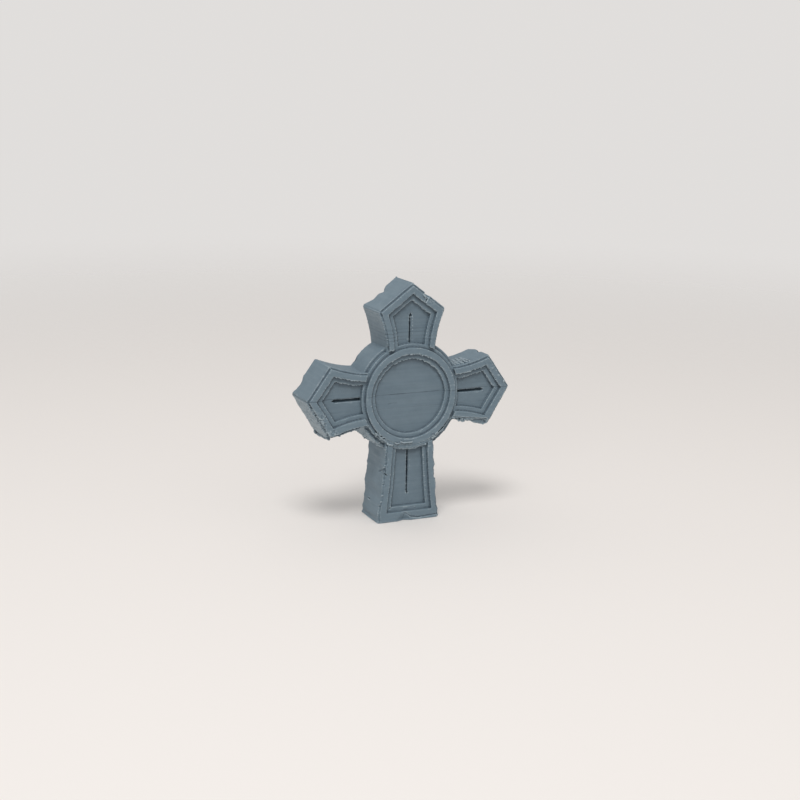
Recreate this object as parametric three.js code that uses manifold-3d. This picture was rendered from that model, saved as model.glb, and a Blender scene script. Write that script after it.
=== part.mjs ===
// A miniature cross headstone: four stepped arms round a ringed boss, printed upright in one piece.
// Millimetres, +Z up, the carved face towards -Y, the origin under the middle of the foot.

import * as THREE from 'three';
import { mergeVertices } from 'three/addons/utils/BufferGeometryUtils.js';
import Module from 'manifold-3d';

// Overall sizes
const height = 50;
const thickness = 8.8;
const topReach = 23.45;
const sideReach = 22.9;
const bossHeight = height - topReach;

// Arms, as distances from the centre of the boss and half-widths there
const rootDistance = 9.1;
const neckDistance = 9.5;
const neckHalfWidth = 5.45;
const shoulderDistance = 17.9;
const shoulderHalfWidth = 7.45;
const armFlare = 1.7;
const footHalfWidth = 7.13;
const footFlare = 1.4;

// The side arms sag: their undersides hang a little and their tips sit above the centre line
const underSag = 0.3;
const tipLift = 0.4;

// Mouldings of an arm: an outer rabbet, the raised frame, a ledge and the sunk panel
const stepDepth = 0.6;
const rabbetWidth = 0.45;
const ledgeInset = 1.72;
const panelInset = 2.83;
const neckShare = 0.86;
const footFrameExtra = 0.25;

// Slit down the middle of each panel
const slitMouth = 0.7;
const slitFloor = 0.25;
const slitDepth = 1;
const slitEnd = 17.3;
const footSlitEnd = 21.2;

// Boss: radii of the drum and of the ring's ledges and band, and how deep the drum's face lies
const drumRadius = 11.6;
const drumSag = 0.5;
const drumDepth = 1.35;
const outerLedgeRadius = 10.9;
const bandRadius = 10.12;
const bandInnerRadius = 8.87;
const innerLedgeRadius = 7.87;

// Chips and cracks in the edges: the middle of each, as X, depth behind the face and Z, its
// half-lengths along the edge, into the depth and across, and its turn about the depth axis
const slopeTurn = 37;
const chips = [
  { at: [3.4, 0.6, 47.3], half: [0.9, 2.6, 0.65], turn: slopeTurn },
  { at: [5.4, 0, 45.8], half: [2.6, 0.7, 0.5], turn: slopeTurn },
  { at: [-3.3, 8.8, 47.1], half: [0.8, 2.5, 0.8], turn: -slopeTurn },
  { at: [-5.4, 8.8, 45.9], half: [2.4, 1.6, 0.45], turn: -slopeTurn },
  { at: [-21.3, 8.8, 29.1], half: [0.8, 1.8, 0.4], turn: slopeTurn - 90 },
  { at: [-17.9, 0.3, 18.8], half: [1.3, 1.4, 0.9], turn: 0 },
  { at: [-18.1, 8.8, 18.7], half: [0.6, 0.9, 0.5], turn: 0 },
  { at: [17.9, 4.9, 34.1], half: [0.9, 0.35, 0.7], turn: 0 },
  { at: [17.9, 0.4, 18.8], half: [1, 1.6, 0.8], turn: 0 },
  { at: [-1.15, 0, 0.3], half: [1.9, 0.75, 1.75], turn: 0 },
  { at: [-5.8, 0.3, 10.8], half: [1.6, 0.8, 0.35], turn: slopeTurn },
];

// Fineness of the curves
const sideSteps = 10;
const ringSegments = 96;
const margin = 1;

const wasm = await Module();
wasm.setup();

// Turns a closed geometry into a solid that can be joined and cut.
function solidOf(geometry) {
  const bare = geometry.index ? geometry.toNonIndexed() : geometry.clone();
  bare.deleteAttribute('normal');
  bare.deleteAttribute('uv');
  const merged = mergeVertices(bare, 1e-5);
  const mesh = new wasm.Mesh({
    numProp: 3,
    vertProperties: new Float32Array(merged.attributes.position.array),
    triVerts: new Uint32Array(merged.index.array),
  });
  return new wasm.Manifold(mesh);
}

// Turns a finished solid back into a geometry.
function geometryOf(solid) {
  const mesh = solid.getMesh();
  const geometry = new THREE.BufferGeometry();
  geometry.setAttribute('position', new THREE.BufferAttribute(mesh.vertProperties, 3));
  geometry.setIndex(new THREE.BufferAttribute(mesh.triVerts, 1));
  geometry.computeVertexNormals();
  return geometry;
}

// How much of an inset holds at a distance: mouldings are narrower at the neck than at the end.
function insetShare(distance, endDistance) {
  const along = (distance - neckDistance) / (endDistance - neckDistance);
  return neckShare + (1 - neckShare) * THREE.MathUtils.clamp(along, 0, 1);
}

// Half-width of an arm's curved side, from the neck to its end, drawn in by an inset.
function sideHalfWidth(distance, end, inset) {
  const along = Math.max(0, distance - neckDistance) / (end.distance - neckDistance);
  const widened = (end.halfWidth - neckHalfWidth) * along ** end.flare;
  return neckHalfWidth + end.sag + widened - inset * insetShare(distance, end.distance);
}

// Half-width of a pointed tip on one side of the arm's axis, drawn in by an inset.
function tipHalfWidth(distance, tip, inset) {
  return tip.lift + tip.slope * (tip.reach - distance) - inset * Math.hypot(1, tip.slope);
}

// Half-outline of one side of a pointed arm, as [distance, half-width] up to the shoulder.
function pointedSide(end, tip, inset) {
  let low = neckDistance;
  let high = tip.reach;
  for (let turn = 0; turn < 40; turn += 1) {
    const middle = (low + high) / 2;
    const onSide = sideHalfWidth(middle, end, inset) < tipHalfWidth(middle, tip, inset);
    if (onSide) low = middle;
    else high = middle;
  }
  return curvedSide(end, low, inset);
}

// Points along a curved side from the root to a distance.
function curvedSide(end, lastDistance, inset) {
  const points = [];
  for (let step = 0; step <= sideSteps; step += 1) {
    const distance = rootDistance + (lastDistance - rootDistance) * step / sideSteps;
    points.push([distance, sideHalfWidth(distance, end, inset)]);
  }
  return points;
}

// Closes the right and left half-outlines of an arm into a shape that points along +Y.
function armShape(right, left, tip) {
  const points = right.map(([distance, width]) => new THREE.Vector2(width, distance));
  points.push(...tip.map(([distance, width]) => new THREE.Vector2(width, distance)));
  points.push(...left.reverse().map(([distance, width]) => new THREE.Vector2(-width, distance)));
  return new THREE.Shape(points);
}

// Outline of a pointed arm, drawn in by an inset. An arm that lies on its side has an upper side,
// +1 or -1 across the arm, towards which its tip is lifted, and hangs by a sag on the other.
function pointedShape(arm, inset, sag) {
  const sides = [1, -1].map((side) => {
    const hang = side === -arm.upper ? sag : 0;
    const lift = side * arm.upper * tipLift;
    const halfWidth = shoulderHalfWidth + hang;
    const slope = (halfWidth - lift) / (arm.reach - shoulderDistance);
    const end = { distance: shoulderDistance, halfWidth: shoulderHalfWidth, flare: armFlare, sag: hang };
    return { end, tip: { reach: arm.reach, lift, slope } };
  });
  const [right, left] = sides;
  const bothSlopes = right.tip.slope + left.tip.slope;
  const bothInsets = inset * (Math.hypot(1, right.tip.slope) + Math.hypot(1, left.tip.slope));
  const tipDistance = arm.reach - bothInsets / bothSlopes;
  const tipPoint = [tipDistance, tipHalfWidth(tipDistance, right.tip, inset)];
  return armShape(
    pointedSide(right.end, right.tip, inset),
    pointedSide(left.end, left.tip, inset),
    [tipPoint],
  );
}

// Outline of the lower arm, drawn in by an inset at its sides and, inside the frame, at its foot.
function footShape(inset) {
  const footInset = inset > rabbetWidth ? inset + footFrameExtra : 0;
  const end = { distance: bossHeight, halfWidth: footHalfWidth, flare: footFlare, sag: 0 };
  const side = curvedSide(end, bossHeight - footInset, inset);
  return armShape(side, [...side], []);
}

// Extrudes a shape from a front depth to a back depth, with its axis turned about the boss.
function plate(shape, front, back, turn) {
  const geometry = new THREE.ExtrudeGeometry(shape, { depth: back - front, bevelEnabled: false });
  geometry.rotateX(Math.PI / 2);
  geometry.translate(0, back, 0);
  geometry.rotateY(turn);
  geometry.translate(0, 0, bossHeight);
  return solidOf(geometry);
}

// The V-shaped slit of an arm, from under the ring to its pointed end.
function slitSolid(arm) {
  const half = slitFloor / 2;
  const flank = (slitMouth - slitFloor) / 2;
  const floor = new THREE.Shape([
    new THREE.Vector2(-half, rootDistance),
    new THREE.Vector2(half, rootDistance),
    new THREE.Vector2(half, arm.slitEnd - slitMouth),
    new THREE.Vector2(0, arm.slitEnd - flank),
    new THREE.Vector2(-half, arm.slitEnd - slitMouth),
  ]);
  const mouth = 2 * stepDepth + margin;
  const geometry = new THREE.ExtrudeGeometry(floor, {
    depth: mouth,
    bevelThickness: slitDepth,
    bevelSize: flank,
    bevelSegments: 1,
  });
  geometry.rotateX(Math.PI / 2);
  geometry.translate(0, 2 * stepDepth, 0);
  geometry.rotateY(arm.turn);
  geometry.translate(0, 0, bossHeight);
  return solidOf(geometry);
}

// The four arms, each with its turn about the boss and its outline at an inset
const pointedArms = [
  { turn: 0, reach: topReach, upper: 0, slitEnd },
  { turn: Math.PI / 2, reach: sideReach, upper: -1, slitEnd },
  { turn: -Math.PI / 2, reach: sideReach, upper: 1, slitEnd },
];
const lowerArm = { turn: Math.PI, slitEnd: footSlitEnd, outline: footShape };
const arms = pointedArms.map((arm) => ({
  ...arm,
  outline: (inset, sag = 0) => pointedShape(arm, inset, sag),
}));
arms.push(lowerArm);

// One arm with its rabbet, frame, ledge and panel.
function armSolid(arm) {
  const body = plate(arm.outline(0, underSag), stepDepth, thickness, arm.turn);
  const face = plate(arm.outline(rabbetWidth, underSag), 0, stepDepth + margin, arm.turn);
  const ledge = plate(arm.outline(ledgeInset), -margin, stepDepth, arm.turn);
  const panel = plate(arm.outline(panelInset), -margin, 2 * stepDepth, arm.turn);
  return body.add(face).subtract(ledge).subtract(panel);
}

// A geometry turned about the depth axis, from [radius, depth] points.
function turnedGeometry(profile) {
  const points = profile.map(([radius, depth]) => new THREE.Vector2(radius, depth));
  return new THREE.LatheGeometry(points, ringSegments);
}

// A solid turned about the depth axis at the height of the boss.
function turned(profile) {
  const geometry = turnedGeometry(profile);
  geometry.translate(0, 0, bossHeight);
  return solidOf(geometry);
}

// The drum behind the ring. The back of its underside hangs lower than the front.
function drumSolid() {
  const back = thickness - stepDepth;
  const geometry = turnedGeometry([
    [0, drumDepth],
    [drumRadius, drumDepth],
    [drumRadius, back],
    [0, back],
  ]);
  const corners = geometry.attributes.position;
  for (let index = 0; index < corners.count; index += 1) {
    const under = corners.getZ(index) < 0 && corners.getY(index) > drumDepth;
    if (under) corners.setZ(index, corners.getZ(index) * (1 + drumSag / drumRadius));
  }
  geometry.translate(0, 0, bossHeight);
  return solidOf(geometry);
}

// The ring: outer ledge, raised band, inner ledge and dished face, with a plain round back.
function ringSolid() {
  return turned([
    [0, 2 * stepDepth],
    [innerLedgeRadius, 2 * stepDepth],
    [innerLedgeRadius, stepDepth],
    [bandInnerRadius, stepDepth],
    [bandInnerRadius, 0],
    [bandRadius, 0],
    [bandRadius, stepDepth],
    [outerLedgeRadius, stepDepth],
    [outerLedgeRadius, thickness],
    [0, thickness],
  ]);
}

// The room that the ring takes out of the arms' frames.
function ringSeat() {
  return turned([
    [0, -margin],
    [outerLedgeRadius, -margin],
    [outerLedgeRadius, stepDepth],
    [0, stepDepth],
  ]);
}

// A chip as a pointed wedge.
function chipSolid({ at, half, turn }) {
  const geometry = new THREE.OctahedronGeometry(1);
  geometry.scale(...half);
  geometry.rotateY(THREE.MathUtils.degToRad(turn));
  geometry.translate(...at);
  return solidOf(geometry);
}

// Joins the arms, cuts their slits, seats the ring in the middle and takes the chips off the edges.
function crossSolid() {
  let cross = drumSolid();
  for (const arm of arms) {
    cross = cross.add(armSolid(arm));
  }
  for (const arm of arms) {
    cross = cross.subtract(slitSolid(arm));
  }
  cross = cross.subtract(ringSeat()).add(ringSolid());
  for (const chip of chips) {
    cross = cross.subtract(chipSolid(chip));
  }
  return cross;
}

const bluePlastic = new THREE.MeshStandardMaterial({ color: 0x70828f, roughness: 0.55, metalness: 0 });

const headstone = new THREE.Mesh(geometryOf(crossSolid()), bluePlastic);
headstone.name = 'cross_headstone';
headstone.position.y = -thickness / 2;

const cross = new THREE.Group();
cross.add(headstone);

export default cross;
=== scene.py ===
"""A printed cross headstone miniature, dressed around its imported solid.

The print is grown from a copy of the solid: threads and beads of plastic are joined to it, the whole is
skinned again with small faces, and that skin is softened, sagged, banded and chipped as the real print is.
Sizes in the classes are millimetres in the part's frame; finished meshes are metres.
"""

from __future__ import annotations

import logging
import math
from dataclasses import dataclass, field
from enum import Enum
from typing import ClassVar

import bmesh
import bpy
import numpy as np
from mathutils import Matrix, Vector
from mathutils.bvhtree import BVHTree
from mathutils.kdtree import KDTree


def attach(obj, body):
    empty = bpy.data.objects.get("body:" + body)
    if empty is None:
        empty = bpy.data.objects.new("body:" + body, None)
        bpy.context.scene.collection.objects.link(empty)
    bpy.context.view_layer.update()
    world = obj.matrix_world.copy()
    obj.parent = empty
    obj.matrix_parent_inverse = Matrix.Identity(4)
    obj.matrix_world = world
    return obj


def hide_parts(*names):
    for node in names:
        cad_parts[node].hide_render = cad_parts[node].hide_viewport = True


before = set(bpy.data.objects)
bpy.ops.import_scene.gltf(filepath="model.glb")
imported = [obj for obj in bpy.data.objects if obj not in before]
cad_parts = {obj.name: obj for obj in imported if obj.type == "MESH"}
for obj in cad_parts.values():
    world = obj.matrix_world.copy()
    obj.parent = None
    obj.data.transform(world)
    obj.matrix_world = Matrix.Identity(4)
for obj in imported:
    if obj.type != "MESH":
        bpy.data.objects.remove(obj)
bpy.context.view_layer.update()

LOG = logging.getLogger("cross_headstone")
MILLIMETRE = 0.001
NODE = "cross_headstone"
BODY = "root"

Point = tuple[float, float, float]
Span = tuple[float, float]


# Sizes that the print shares with the solid

FACE = -4.4
BACK = 4.4
BOSS_HEIGHT = 26.55
NECK_DISTANCE = 9.5
NECK_HALF_WIDTH = 5.45
SHOULDER_DISTANCE = 17.9
SHOULDER_HALF_WIDTH = 7.45
ARM_FLARE = 1.7
FOOT_HALF_WIDTH = 7.13
FOOT_FLARE = 1.4
RABBET_WIDTH = 0.45
STEP_DEPTH = 0.6
LAYER_LINE_HEIGHT = 27.0
FRONT_DEPTH = 2.1


def arm_half_width(distance: float) -> float:
    """Gives a pointed arm's half-width at a distance from the centre of the boss."""
    along = max(0.0, distance - NECK_DISTANCE) / (SHOULDER_DISTANCE - NECK_DISTANCE)
    return NECK_HALF_WIDTH + (SHOULDER_HALF_WIDTH - NECK_HALF_WIDTH) * along**ARM_FLARE


def foot_half_width(height: float) -> float:
    """Gives the lower arm's half-width at a height above the table."""
    along = max(0.0, BOSS_HEIGHT - height - NECK_DISTANCE) / (BOSS_HEIGHT - NECK_DISTANCE)
    return NECK_HALF_WIDTH + (FOOT_HALF_WIDTH - NECK_HALF_WIDTH) * along**FOOT_FLARE


def top_half_width(height: float) -> float:
    """Gives the top arm's half-width at a height above the table."""
    return arm_half_width(height - BOSS_HEIGHT)


def cell_values(cells: np.ndarray, seed: int) -> np.ndarray:
    """Gives each cell of a lattice its own random value.

    Args:
        cells: Whole-number cells, one row each.
        seed: Number of the pattern.

    Returns:
        A value from 0 to 1 for each row.
    """
    mixed = cells[:, 0] * 73856093 ^ cells[:, 1] * 19349663 ^ cells[:, 2] * 83492791 ^ seed * 2654435
    mixed = ((mixed ^ (mixed >> 13)) * 1274126177) & 0x7FFFFFFF
    return ((mixed ^ (mixed >> 15)) & 0xFFFF) / 65535.0


def smooth_noise(points: np.ndarray, cell: Point, seed: int) -> np.ndarray:
    """Gives a smooth random pattern over space.

    Args:
        points: Places, one row each.
        cell: Size of the pattern along each axis.
        seed: Number of the pattern.

    Returns:
        A value from -1 to 1 for each place.
    """
    scaled = points / np.asarray(cell)
    base = np.floor(scaled).astype(np.int64)
    part = scaled - base
    ease = part * part * (3 - 2 * part)
    total = np.zeros(len(points))
    for corner in range(8):
        step = np.array([(corner >> axis) & 1 for axis in range(3)])
        weight = np.prod(np.where(step == 1, ease, 1 - ease), axis=1)
        total += weight * cell_values(base + step, seed)
    return 2 * total - 1


def ramp(values: np.ndarray, low: float, high: float) -> np.ndarray:
    """Eases values from 0 at low to 1 at high."""
    part = np.clip((values - low) / (high - low), 0, 1)
    return part * part * (3 - 2 * part)


def below(values: np.ndarray, low: float, high: float) -> np.ndarray:
    """Eases values from 1 at low to 0 at high."""
    return ramp(-values, -high, -low)


def from_line(places: np.ndarray, start: Point, end: Point) -> np.ndarray:
    """Measures how far places lie from a straight line between two ends.

    Args:
        places: The places, one in each row.
        start: One end of the line.
        end: The other end.

    Returns:
        The distance of each place.
    """
    run = np.asarray(end) - np.asarray(start)
    offset = places - np.asarray(start)
    along = np.clip(offset @ run / (run @ run), 0, 1)
    return np.linalg.norm(offset - along[:, None] * run, axis=1)


def plain_mesh(holder: bpy.types.Object, name: str) -> bpy.types.Mesh:
    """Turns an object with modifiers into a plain mesh, and removes the object and its first mesh.

    Args:
        holder: Object whose modifiers are to be applied.
        name: Name of the new mesh.

    Returns:
        The evaluated mesh.
    """
    bpy.context.view_layer.update()
    graph = bpy.context.evaluated_depsgraph_get()
    mesh = bpy.data.meshes.new_from_object(holder.evaluated_get(graph))
    mesh.name = name
    first = holder.data
    bpy.data.objects.remove(holder)
    bpy.data.meshes.remove(first)
    return mesh


def linked(name: str, data: bpy.types.ID) -> bpy.types.Object:
    """Makes an object and puts it in the scene.

    Args:
        name: Name of the object.
        data: Its mesh, lamp or camera.

    Returns:
        The object.
    """
    made = bpy.data.objects.new(name, data)
    bpy.context.scene.collection.objects.link(made)
    return made


@dataclass(frozen=True)
class Pattern:
    """A smooth random pattern over space.

    Attributes:
        cell: Its size along each axis.
        seed: Its number.
        share: How far it goes up and down.
    """

    cell: Point
    seed: int
    share: float = 1.0

    def at(self, places: np.ndarray) -> np.ndarray:
        """Gives the pattern's value at each place."""
        return self.share * smooth_noise(places, self.cell, self.seed)


class MarkKind(Enum):
    """How a mark changes the surface."""

    DENT = "dent"
    LUMP = "lump"
    GROOVE = "groove"
    FACET = "facet"


@dataclass(frozen=True)
class Mark:
    """One fault in the print: a dent, a raised spot, a thin groove or a broken facet.

    Attributes:
        kind: What it does to the surface.
        at: Its middle, or one end of a groove.
        size: Its reach along each axis, or a groove's half-width as the first number.
        depth: How far it goes in, or how far a lump stands out.
        to: The other end of a groove.
        facing: The way out of a facet.
    """

    kind: MarkKind
    at: Point
    size: Point
    depth: float = 0.0
    to: Point = (0.0, 0.0, 0.0)
    facing: Point = (0.0, 0.0, 1.0)


@dataclass(frozen=True)
class RoughPatch:
    """A rough place in the print.

    Attributes:
        at: Its middle.
        size: Its reach along each axis.
        amount: How far the roughness goes in and out.
    """

    at: Point
    size: Point
    amount: float


@dataclass(frozen=True)
class ThreadPath:
    """A thread of plastic laid along points.

    Attributes:
        points: Places that it passes through.
        radius: Half its thickness.
        waver: How far it strays from a smooth line.
        seed: Number of its random pattern.
        pale: Whether it carries a painted highlight, paler than the print.
    """

    points: tuple[Point, ...]
    radius: float
    waver: float
    seed: int
    pale: bool = False

    def away(self, places: np.ndarray) -> np.ndarray:
        """Measures how far places, one in each row, lie from the thread's middle line."""
        runs = zip(self.points, self.points[1:])
        return np.min([from_line(places, start, end) for start, end in runs], axis=0)


@dataclass(frozen=True)
class BeadRow:
    """Beads of plastic along an edge, where each layer of the print starts and stops.

    Attributes:
        points: Places that the row passes through.
        spacing: Distance between beads.
        radius: Radius of the largest beads.
        scatter: How far a bead strays from the row.
        seed: Number of its random pattern.
    """

    points: tuple[Point, ...]
    spacing: float
    radius: float
    scatter: float
    seed: int


@dataclass
class Skin:
    """A closed skin of small four-sided faces, in millimetres.

    Attributes:
        SMOOTH_SHARE: How far a round of smoothing draws a corner to the middle of its neighbours.
        points: Corners, one row each.
        quads: Four corner numbers for each face.
    """

    SMOOTH_SHARE: ClassVar[float] = 0.5

    points: np.ndarray
    quads: np.ndarray

    @classmethod
    def of(cls, mesh: bpy.types.Mesh) -> Skin:
        """Reads a mesh whose faces all have four corners.

        Args:
            mesh: The mesh.

        Returns:
            Its skin.
        """
        points = np.zeros(len(mesh.vertices) * 3)
        mesh.vertices.foreach_get("co", points)
        corners = np.zeros(len(mesh.loops), np.int32)
        mesh.loops.foreach_get("vertex_index", corners)
        return cls(points.reshape(-1, 3), corners.reshape(-1, 4).astype(np.int64))

    def largest(self) -> Skin:
        """Finds the largest connected shell of the skin.

        Returns:
            That shell, without loose crumbs.
        """
        labels = np.arange(len(self.points))
        while True:
            lowest = labels[self.quads].min(axis=1)
            joined = labels.copy()
            np.minimum.at(joined, self.quads.ravel(), np.repeat(lowest, 4))
            joined = joined[joined]
            if np.array_equal(joined, labels):
                break
            labels = joined
        keep = labels == np.bincount(labels).argmax()
        numbers = np.cumsum(keep) - 1
        return Skin(self.points[keep], numbers[self.quads[keep[self.quads[:, 0]]]])

    def normals(self) -> np.ndarray:
        """Works out the way out of the surface.

        Returns:
            A direction of length 1 for each corner.
        """
        corners = self.points[self.quads]
        faces = np.cross(corners[:, 2] - corners[:, 0], corners[:, 3] - corners[:, 1])
        count = len(self.points)
        total = np.stack(
            [
                sum(np.bincount(self.quads[:, corner], faces[:, axis], count) for corner in range(4))
                for axis in range(3)
            ],
            axis=1,
        )
        return total / np.maximum(np.linalg.norm(total, axis=1, keepdims=True), 1e-12)

    def smoothed(self, rounds: int) -> np.ndarray:
        """Draws each corner towards the middle of its neighbours.

        Args:
            rounds: How often.

        Returns:
            The corners' new places.
        """
        ends = np.concatenate([self.quads, np.roll(self.quads, 1, axis=1)]).ravel()
        others = np.concatenate([np.roll(self.quads, -1, axis=1), np.roll(self.quads, 2, axis=1)]).ravel()
        count = len(self.points)
        number = np.maximum(np.bincount(ends, minlength=count), 1)[:, None]
        places = self.points.copy()
        for _ in range(rounds):
            middle = np.stack(
                [np.bincount(ends, places[others, axis], count) for axis in range(3)], axis=1
            )
            places += self.SMOOTH_SHARE * (middle / number - places)
        return places

    def relief(self, rounds: int) -> np.ndarray:
        """Measures how far each corner stands out of the skin smoothed so often, or in if negative."""
        return np.einsum("ij,ij->i", self.points - self.smoothed(rounds), self.normals())

    def push(self, amount: np.ndarray) -> None:
        """Moves each corner out of the surface by its amount, or inwards if that is negative."""
        self.points += self.normals() * amount[:, None]

    def mesh(self, name: str) -> bpy.types.Mesh:
        """Makes a mesh of the skin.

        Args:
            name: Name of the mesh.

        Returns:
            The mesh.
        """
        made = bpy.data.meshes.new(name)
        made.from_pydata(self.points.tolist(), [], self.quads.tolist())
        made.shade_smooth()
        return made


class LineTree:
    """A node tree with named inputs that puts plastic along a line.

    Attributes:
        INPUTS: Name and kind of each input besides the line.
        tree: The node tree.
        sockets: Identifier of each named input.
    """

    INPUTS: ClassVar[dict[str, str]] = {}

    def __init__(self, name: str) -> None:
        """Makes the tree with its named inputs and its nodes.

        Args:
            name: Name of the tree.
        """
        self.tree = bpy.data.node_groups.new(name, "GeometryNodeTree")
        self.sockets: dict[str, str] = {}
        face = self.tree.interface
        face.new_socket("Geometry", in_out="INPUT", socket_type="NodeSocketGeometry")
        for label, kind in self.INPUTS.items():
            self.sockets[label] = face.new_socket(label, in_out="INPUT", socket_type=kind).identifier
        face.new_socket("Geometry", in_out="OUTPUT", socket_type="NodeSocketGeometry")
        self.build()

    def build(self) -> None:
        """Adds the tree's own nodes."""
        raise NotImplementedError

    def strayed(self, places: bpy.types.NodeSocket, amount: str) -> bpy.types.NodeSocket:
        """Adds nodes that move places at random.

        Args:
            places: Socket with the places.
            amount: Name of the input that says how far.

        Returns:
            The socket with the moved places.
        """
        nodes, links = self.tree.nodes, self.tree.links
        given = nodes["Group Input"]
        stray = nodes.new("FunctionNodeRandomValue")
        stray.data_type = "FLOAT_VECTOR"
        stray.inputs[0].default_value = (-1, -1, -1)
        stray.inputs[1].default_value = (1, 1, 1)
        scaled = nodes.new("ShaderNodeVectorMath")
        scaled.operation = "SCALE"
        moved = nodes.new("GeometryNodeSetPosition")
        links.new(given.outputs["Seed"], stray.inputs["Seed"])
        links.new(stray.outputs[0], scaled.inputs[0])
        links.new(given.outputs[amount], scaled.inputs["Scale"])
        links.new(places, moved.inputs["Geometry"])
        links.new(scaled.outputs[0], moved.inputs["Offset"])
        return moved.outputs[0]

    def ended(self, made: bpy.types.NodeSocket) -> None:
        """Adds the nodes that make everything real and give it the material.

        Args:
            made: Socket with what the tree has made.
        """
        nodes, links = self.tree.nodes, self.tree.links
        real = nodes.new("GeometryNodeRealizeInstances")
        dressed = nodes.new("GeometryNodeSetMaterial")
        out = nodes.new("NodeGroupOutput")
        links.new(made, real.inputs[0])
        links.new(real.outputs[0], dressed.inputs["Geometry"])
        links.new(nodes["Group Input"].outputs["Material"], dressed.inputs["Material"])
        links.new(dressed.outputs[0], out.inputs[0])

    def along(
        self, points: tuple[Point, ...], values: dict[str, float | int | bpy.types.Material]
    ) -> bpy.types.Mesh:
        """Runs the tree along a line.

        Args:
            points: Places that the line passes through.
            values: Value of each named input.

        Returns:
            What the tree makes, as a plain mesh.
        """
        line = bpy.data.meshes.new("line")
        line.from_pydata(points, [(n, n + 1) for n in range(len(points) - 1)], [])
        holder = linked("line", line)
        modifier = holder.modifiers.new("along", "NODES")
        modifier.node_group = self.tree
        for label, value in values.items():
            modifier[self.sockets[label]] = value
        return plain_mesh(holder, "along_line")


class ThreadTree(LineTree):
    """A node tree that lays a round thread along a line.

    Attributes:
        SECTION_SIDES: How many sides the round section has.
    """

    SECTION_SIDES: ClassVar[int] = 10
    INPUTS: ClassVar[dict[str, str]] = {
        "Radius": "NodeSocketFloat",
        "Waver": "NodeSocketFloat",
        "Step": "NodeSocketFloat",
        "Seed": "NodeSocketInt",
        "Material": "NodeSocketMaterial",
    }

    def build(self) -> None:
        """Adds the nodes: edges to a line, even steps, a waver, a round section and a material."""
        nodes, links = self.tree.nodes, self.tree.links
        given = nodes.new("NodeGroupInput")
        line = nodes.new("GeometryNodeMeshToCurve")
        soft = nodes.new("GeometryNodeCurveSplineType")
        soft.spline_type = "CATMULL_ROM"
        even = nodes.new("GeometryNodeResampleCurve")
        even.mode = "LENGTH"
        section = nodes.new("GeometryNodeCurvePrimitiveCircle")
        section.inputs["Resolution"].default_value = self.SECTION_SIDES
        tube = nodes.new("GeometryNodeCurveToMesh")
        tube.inputs["Fill Caps"].default_value = True
        links.new(given.outputs["Geometry"], line.inputs[0])
        links.new(line.outputs[0], soft.inputs["Curve"])
        links.new(soft.outputs[0], even.inputs["Curve"])
        links.new(given.outputs["Step"], even.inputs["Length"])
        links.new(given.outputs["Radius"], section.inputs["Radius"])
        links.new(self.strayed(even.outputs[0], "Waver"), tube.inputs["Curve"])
        links.new(section.outputs[0], tube.inputs["Profile Curve"])
        self.ended(tube.outputs[0])

    def lay(self, path: ThreadPath, material: bpy.types.Material) -> bpy.types.Mesh:
        """Lays one thread.

        Args:
            path: Where the thread goes.
            material: What it is made of.

        Returns:
            The thread as a plain mesh.
        """
        values = {
            "Radius": path.radius,
            "Waver": path.waver,
            "Step": path.radius,
            "Seed": path.seed,
            "Material": material,
        }
        return self.along(path.points, values)


class BeadTree(LineTree):
    """A node tree that strings beads of uneven size along a line.

    Attributes:
        LEAST_SIZE: Least size of a bead along each axis, as a share of its radius.
        MOST_SIZE: Most size of a bead along each axis.
        BEAD_ROUNDS: How often a bead's faces are split.
    """

    LEAST_SIZE: ClassVar[Point] = (0.5, 0.5, 0.4)
    MOST_SIZE: ClassVar[Point] = (1.2, 1.2, 0.9)
    BEAD_ROUNDS: ClassVar[int] = 2
    INPUTS: ClassVar[dict[str, str]] = {
        "Spacing": "NodeSocketFloat",
        "Radius": "NodeSocketFloat",
        "Scatter": "NodeSocketFloat",
        "Seed": "NodeSocketInt",
        "Material": "NodeSocketMaterial",
    }

    def build(self) -> None:
        """Adds the nodes: edges to a line, even steps, a scatter, beads of random size and a material."""
        nodes, links = self.tree.nodes, self.tree.links
        given = nodes.new("NodeGroupInput")
        line = nodes.new("GeometryNodeMeshToCurve")
        even = nodes.new("GeometryNodeCurveToPoints")
        even.mode = "LENGTH"
        size = nodes.new("FunctionNodeRandomValue")
        size.data_type = "FLOAT_VECTOR"
        size.inputs[0].default_value = self.LEAST_SIZE
        size.inputs[1].default_value = self.MOST_SIZE
        bead = nodes.new("GeometryNodeMeshIcoSphere")
        bead.inputs["Subdivisions"].default_value = self.BEAD_ROUNDS
        placed = nodes.new("GeometryNodeInstanceOnPoints")
        links.new(given.outputs["Geometry"], line.inputs[0])
        links.new(line.outputs[0], even.inputs["Curve"])
        links.new(given.outputs["Spacing"], even.inputs["Length"])
        links.new(given.outputs["Seed"], size.inputs["Seed"])
        links.new(given.outputs["Radius"], bead.inputs["Radius"])
        links.new(self.strayed(even.outputs["Points"], "Scatter"), placed.inputs["Points"])
        links.new(bead.outputs[0], placed.inputs["Instance"])
        links.new(size.outputs[0], placed.inputs["Scale"])
        self.ended(placed.outputs[0])

    def string(self, row: BeadRow, material: bpy.types.Material) -> bpy.types.Mesh:
        """Strings one row of beads.

        Args:
            row: Where the beads go and how large they are.
            material: What they are made of.

        Returns:
            The beads as a plain mesh.
        """
        values = {
            "Spacing": row.spacing,
            "Radius": row.radius,
            "Scatter": row.scatter,
            "Seed": row.seed,
            "Material": material,
        }
        return self.along(row.points, values)


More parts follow.
